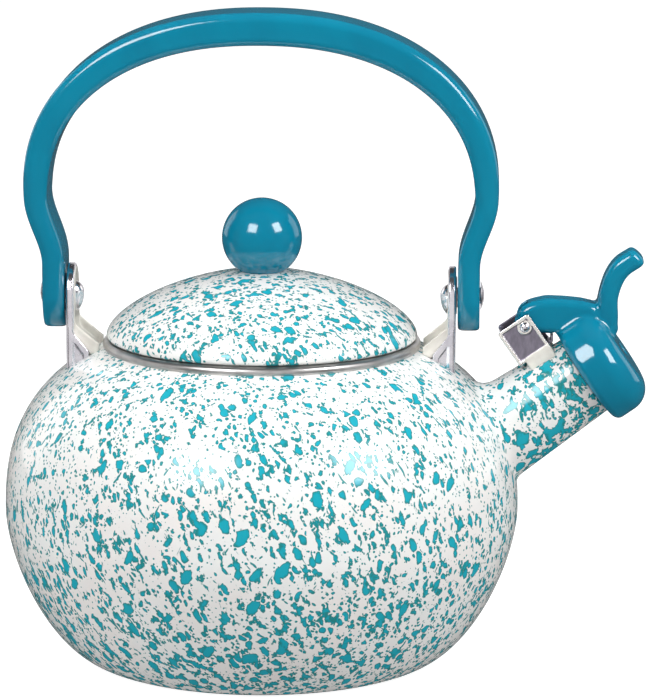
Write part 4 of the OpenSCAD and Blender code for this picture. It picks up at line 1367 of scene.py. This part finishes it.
class KETTLE_OT_cap(bpy.types.Operator):
    """Moulds the whistle cap with its hinge arm and thumb lever"""

    bl_idname = "kettle.cap"
    bl_label = "Whistle cap"

    def execute(self, context):
        c = in_mm(context.scene.kettle_cap)
        half = c.width / 2
        hub = [-PIN_BACK, PIN_UP, 3.6]
        arm = [hub, [-4.0, 31.9, 3.4], [1.5, 27.0, 6.4], [9.2, 21.3, 6.3], [12.5, 18.0, 6.3]]
        lever = [[16.5, 11.0, 4.6], [19.5, 14.3, 4.2], [23.9, 19.9, 3.7]]
        lever += [[29.5, 24.4, 3.7], [34.6, 26.4, 3.8], [40.2, 26.4, 3.7]]
        rows = [threaded(line, 5) for line in (arm, lever)]

        def flat(x, z):
            strips = []
            for row in rows:
                links = [link_field(x, z, a, b) for a, b in zip(row, row[1:])]
                strips.append(functools.reduce(join, links))
            web = link_field(x, z, hub, [1.5, 27.0, 6.3])
            foot = block_field(x, z, (10.0, 8.0), (20.2, 14.6), 1.3)
            strip = join(join(join(strips[0], web, 0.8), strips[1], 2.4), foot, 1.6)
            tip = (x - 42.7) * 0.98 + (z - 26.4) * 0.2
            return common(strip, tip, 1.8)

        def field(x, y, z):
            r = np.hypot(y, z)
            ex = (c.front + 0.3) / 2
            hx = (c.front - 0.3) / 2
            rounding = np.where(x > ex, c.front_edge, c.rear_edge)
            dx, dr = np.abs(x - ex) - hx + rounding, r - c.radius + rounding
            bun = rounded_corner(dx, dr) - rounding
            limb = slab_field(flat(x, z), y, -half, half, c.soft)
            shape = without(join(bun, limb, 2.0), np.maximum(x - 0.3, z - 20.6), 0.3)
            shape = without(shape, np.maximum(r - 12.5, x - 12.7))
            shape = without(shape, np.maximum(r - 15.2, x - 1.1))
            shape = without(shape, r - 2.5, 0.5)
            pin = np.hypot(x + PIN_BACK, z - PIN_UP)
            shape = without(shape, pin - 1.25)
            return without(shape, np.maximum(pin - 8.2, np.abs(y) - 3.5), 0.2)

        low, high = [-12.5, -21, -21], [44, 21, 37]
        cap = carved("cap_and_lever", field, low, high, 0.5, from_spout)
        fitted(cap, "cap", "teal_phenolic", "whistle_cap")
        return {"FINISHED"}


class KETTLE_OT_whistle(bpy.types.Operator):
    """Presses the whistle's steel cup and its second plate"""

    bl_idname = "kettle.whistle"
    bl_label = "Whistle"

    def execute(self, context):
        back, front, wall, hole = -2.5, 9.7, 0.8, 2.1
        corners = [
            [hole, back, 0.15],
            [12.5, back, 0.8],
            [12.5, 0.3],
            [15.2, 0.3, 0.2],
            [15.2, 1.1, 0.3],
            [12.5, 1.1],
            [12.5, front, 0.2],
            [12.5 - wall, front, 0.2],
            [12.5 - wall, back + wall, 0.5],
            [hole, back + wall, 0.15],
        ]
        cup = turned("whistle_pot", softened(corners, 6), axis="spout", spokes=128)
        fitted(cup, "cap", "polished_steel", "whistle_cup")
        plate = back + wall + 5
        edge = 12.5 - wall
        corners = [[hole, plate, 0.15], [edge, plate, 0.15]]
        corners += [[edge, plate + wall, 0.15], [hole, plate + wall, 0.15]]
        disc = turned("whistle_plate", softened(corners, 4), axis="spout", spokes=128)
        fitted(disc, "cap", "polished_steel", "whistle_disc")
        return {"FINISHED"}


class KETTLE_OT_finishes(bpy.types.Operator):
    """Mixes the finishes that the pieces take"""

    bl_idname = "kettle.finishes"
    bl_label = "Finishes"

    def execute(self, context):
        colours = context.scene.kettle_colours
        for mix in (speckled_enamel, plain_enamel, teal_phenolic, clip_steel, pale_floor):
            FINISHES[mix.__name__] = mix(colours)
        for name, look in METALS.items():
            FINISHES[name] = sheet_metal(name, *look)
        return {"FINISHED"}


def softbox(name, place, aim, width, height, radiance):
    """A rectangular light that shines from place towards aim, both in metres."""
    light = bpy.data.lights.new(name, "AREA")
    light.shape, light.size, light.size_y = "RECTANGLE", width, height
    light.energy = radiance * math.pi * width * height
    made = linked(name, light)
    made.location = place
    made.rotation_euler = (Vector(aim) - Vector(place)).to_track_quat("-Z", "Y").to_euler()
    return made


class KETTLE_OT_stage(bpy.types.Operator):
    """Sets the floor, the softboxes, the room and the camera"""

    bl_idname = "kettle.stage"
    bl_label = "Stage"

    def execute(self, context):
        scene, setup = context.scene, context.scene.kettle_stage
        sides = np.linspace(0, 2 * math.pi, 96, endpoint=False)
        sweep = [(r, -0.05) for r in (0, 400, 1500, 6000)]
        sweep += [(40000, 0), (47000, 3000), (50000, 12000), (50000, 40000)]
        rings = [np.stack([r * np.cos(sides), r * np.sin(sides), np.full(96, z)], 1) for r, z in sweep]
        floor = skinned("floor", rings, closed=False)
        floor.data.materials.append(FINISHES["pale_floor"])
        floor.visible_glossy = floor.visible_diffuse = floor.visible_shadow = False
        middle = Vector((0, 0, 0.13))
        left = middle + Vector((-0.399, -0.720, 0.566)) * 1.3
        right = middle + Vector((0.686, -0.465, 0.558)) * 1.3
        softbox("window_left", left, middle, 0.58, 0.52, setup.key_left)
        softbox("window_right", right, middle, 0.5, 0.55, setup.key_right)
        overhead = softbox("overhead", (0, 0.3, 1.9), middle, 2.6, 2.2, setup.overhead)
        bounce = softbox("bounce", (0, 0, 0.001), (0, 0, 1), 4.0, 4.0, setup.bounce)
        bounce.visible_camera = bounce.visible_glossy = overhead.visible_glossy = False
        softbox("back_left", (-1.5, 1.2, 0.6), middle, 0.9, 1.2, setup.back)
        softbox("back_right", (1.6, 1.1, 0.6), middle, 0.9, 1.2, setup.back)
        for side in (-1, 1):
            fill = softbox("fill", (1.7 * side, -0.25, 0.35), middle, 1.2, 1.2, setup.fill)
            fill.visible_glossy = fill.visible_camera = False
        shiny = bpy.data.collections.new("shiny_pieces")
        for turn, share in ((0, 1.0), (90, 0.8), (180, 0.9), (270, 0.8)):
            a = math.radians(turn)
            stand = (1.6 * math.sin(a), -1.6 * math.cos(a), 0.2)
            card = softbox("card", stand, (0, 0, 0.2), 2.2, 1.7, setup.card * share)
            card.visible_camera = False
            card.light_linking.receiver_collection = shiny
        scene.world = lit_room(setup.room)
        camera = bpy.data.cameras.new("camera")
        camera.sensor_fit, camera.sensor_width = "HORIZONTAL", 36
        camera.lens = setup.lens
        camera.clip_end = 100
        holder = linked("camera", camera)
        a, e = setup.azimuth, setup.elevation
        toward = Vector((math.sin(a) * math.cos(e), -math.cos(a) * math.cos(e), math.sin(e)))
        turn = toward.to_track_quat("Z", "Y").to_matrix().to_4x4() @ Matrix.Rotation(setup.roll, 4, "Z")
        holder.matrix_world = Matrix.Translation(Vector(setup.aim) + toward * setup.distance) @ turn
        scene.camera = holder
        scene.view_settings.view_transform = "Standard"
        scene.view_settings.look = "None"
        return {"FINISHED"}


GROUPS = {
    "kettle_body": BodySizes,
    "kettle_lid": LidSizes,
    "kettle_handle": HandleSizes,
    "kettle_spout": SpoutSizes,
    "kettle_cap": CapSizes,
    "kettle_colours": FinishColours,
    "kettle_stage": StageSetup,
}
OPERATORS = (
    KETTLE_OT_finishes,
    KETTLE_OT_stage,
    KETTLE_OT_body,
    KETTLE_OT_rim,
    KETTLE_OT_spout,
    KETTLE_OT_lid,
    KETTLE_OT_lid_band,
    KETTLE_OT_knob,
    KETTLE_OT_knob_fixings,
    KETTLE_OT_handle,
    KETTLE_OT_pivots,
    KETTLE_OT_brackets,
    KETTLE_OT_lugs,
    KETTLE_OT_clip,
    KETTLE_OT_spring,
    KETTLE_OT_cap,
    KETTLE_OT_whistle,
)


class KETTLE_PT_panel(bpy.types.Panel):
    """Lists the kettle's pieces and their sizes"""

    bl_idname = "KETTLE_PT_panel"
    bl_label = "Whistling kettle"
    bl_space_type = "VIEW_3D"
    bl_region_type = "UI"
    bl_category = "Kettle"

    def draw(self, context):
        for operator in OPERATORS:
            self.layout.operator(operator.bl_idname)
        for name in GROUPS:
            group = getattr(context.scene, name)
            box = self.layout.box()
            box.label(text=type(group).__name__)
            for key in group.bl_rna.properties.keys():
                if key not in ("rna_type", "name"):
                    box.prop(group, key)


def register():
    for name, group in GROUPS.items():
        bpy.utils.register_class(group)
        setattr(bpy.types.Scene, name, bpy.props.PointerProperty(type=group))
    for operator in OPERATORS:
        bpy.utils.register_class(operator)
    bpy.utils.register_class(KETTLE_PT_panel)


def unregister():
    bpy.utils.unregister_class(KETTLE_PT_panel)
    for operator in reversed(OPERATORS):
        bpy.utils.unregister_class(operator)
    for name, group in reversed(GROUPS.items()):
        delattr(bpy.types.Scene, name)
        bpy.utils.unregister_class(group)


def main():
    register()
    for operator in OPERATORS:
        family, verb = operator.bl_idname.split(".")
        getattr(getattr(bpy.ops, family), verb)()


if __name__ == "__main__":
    main()
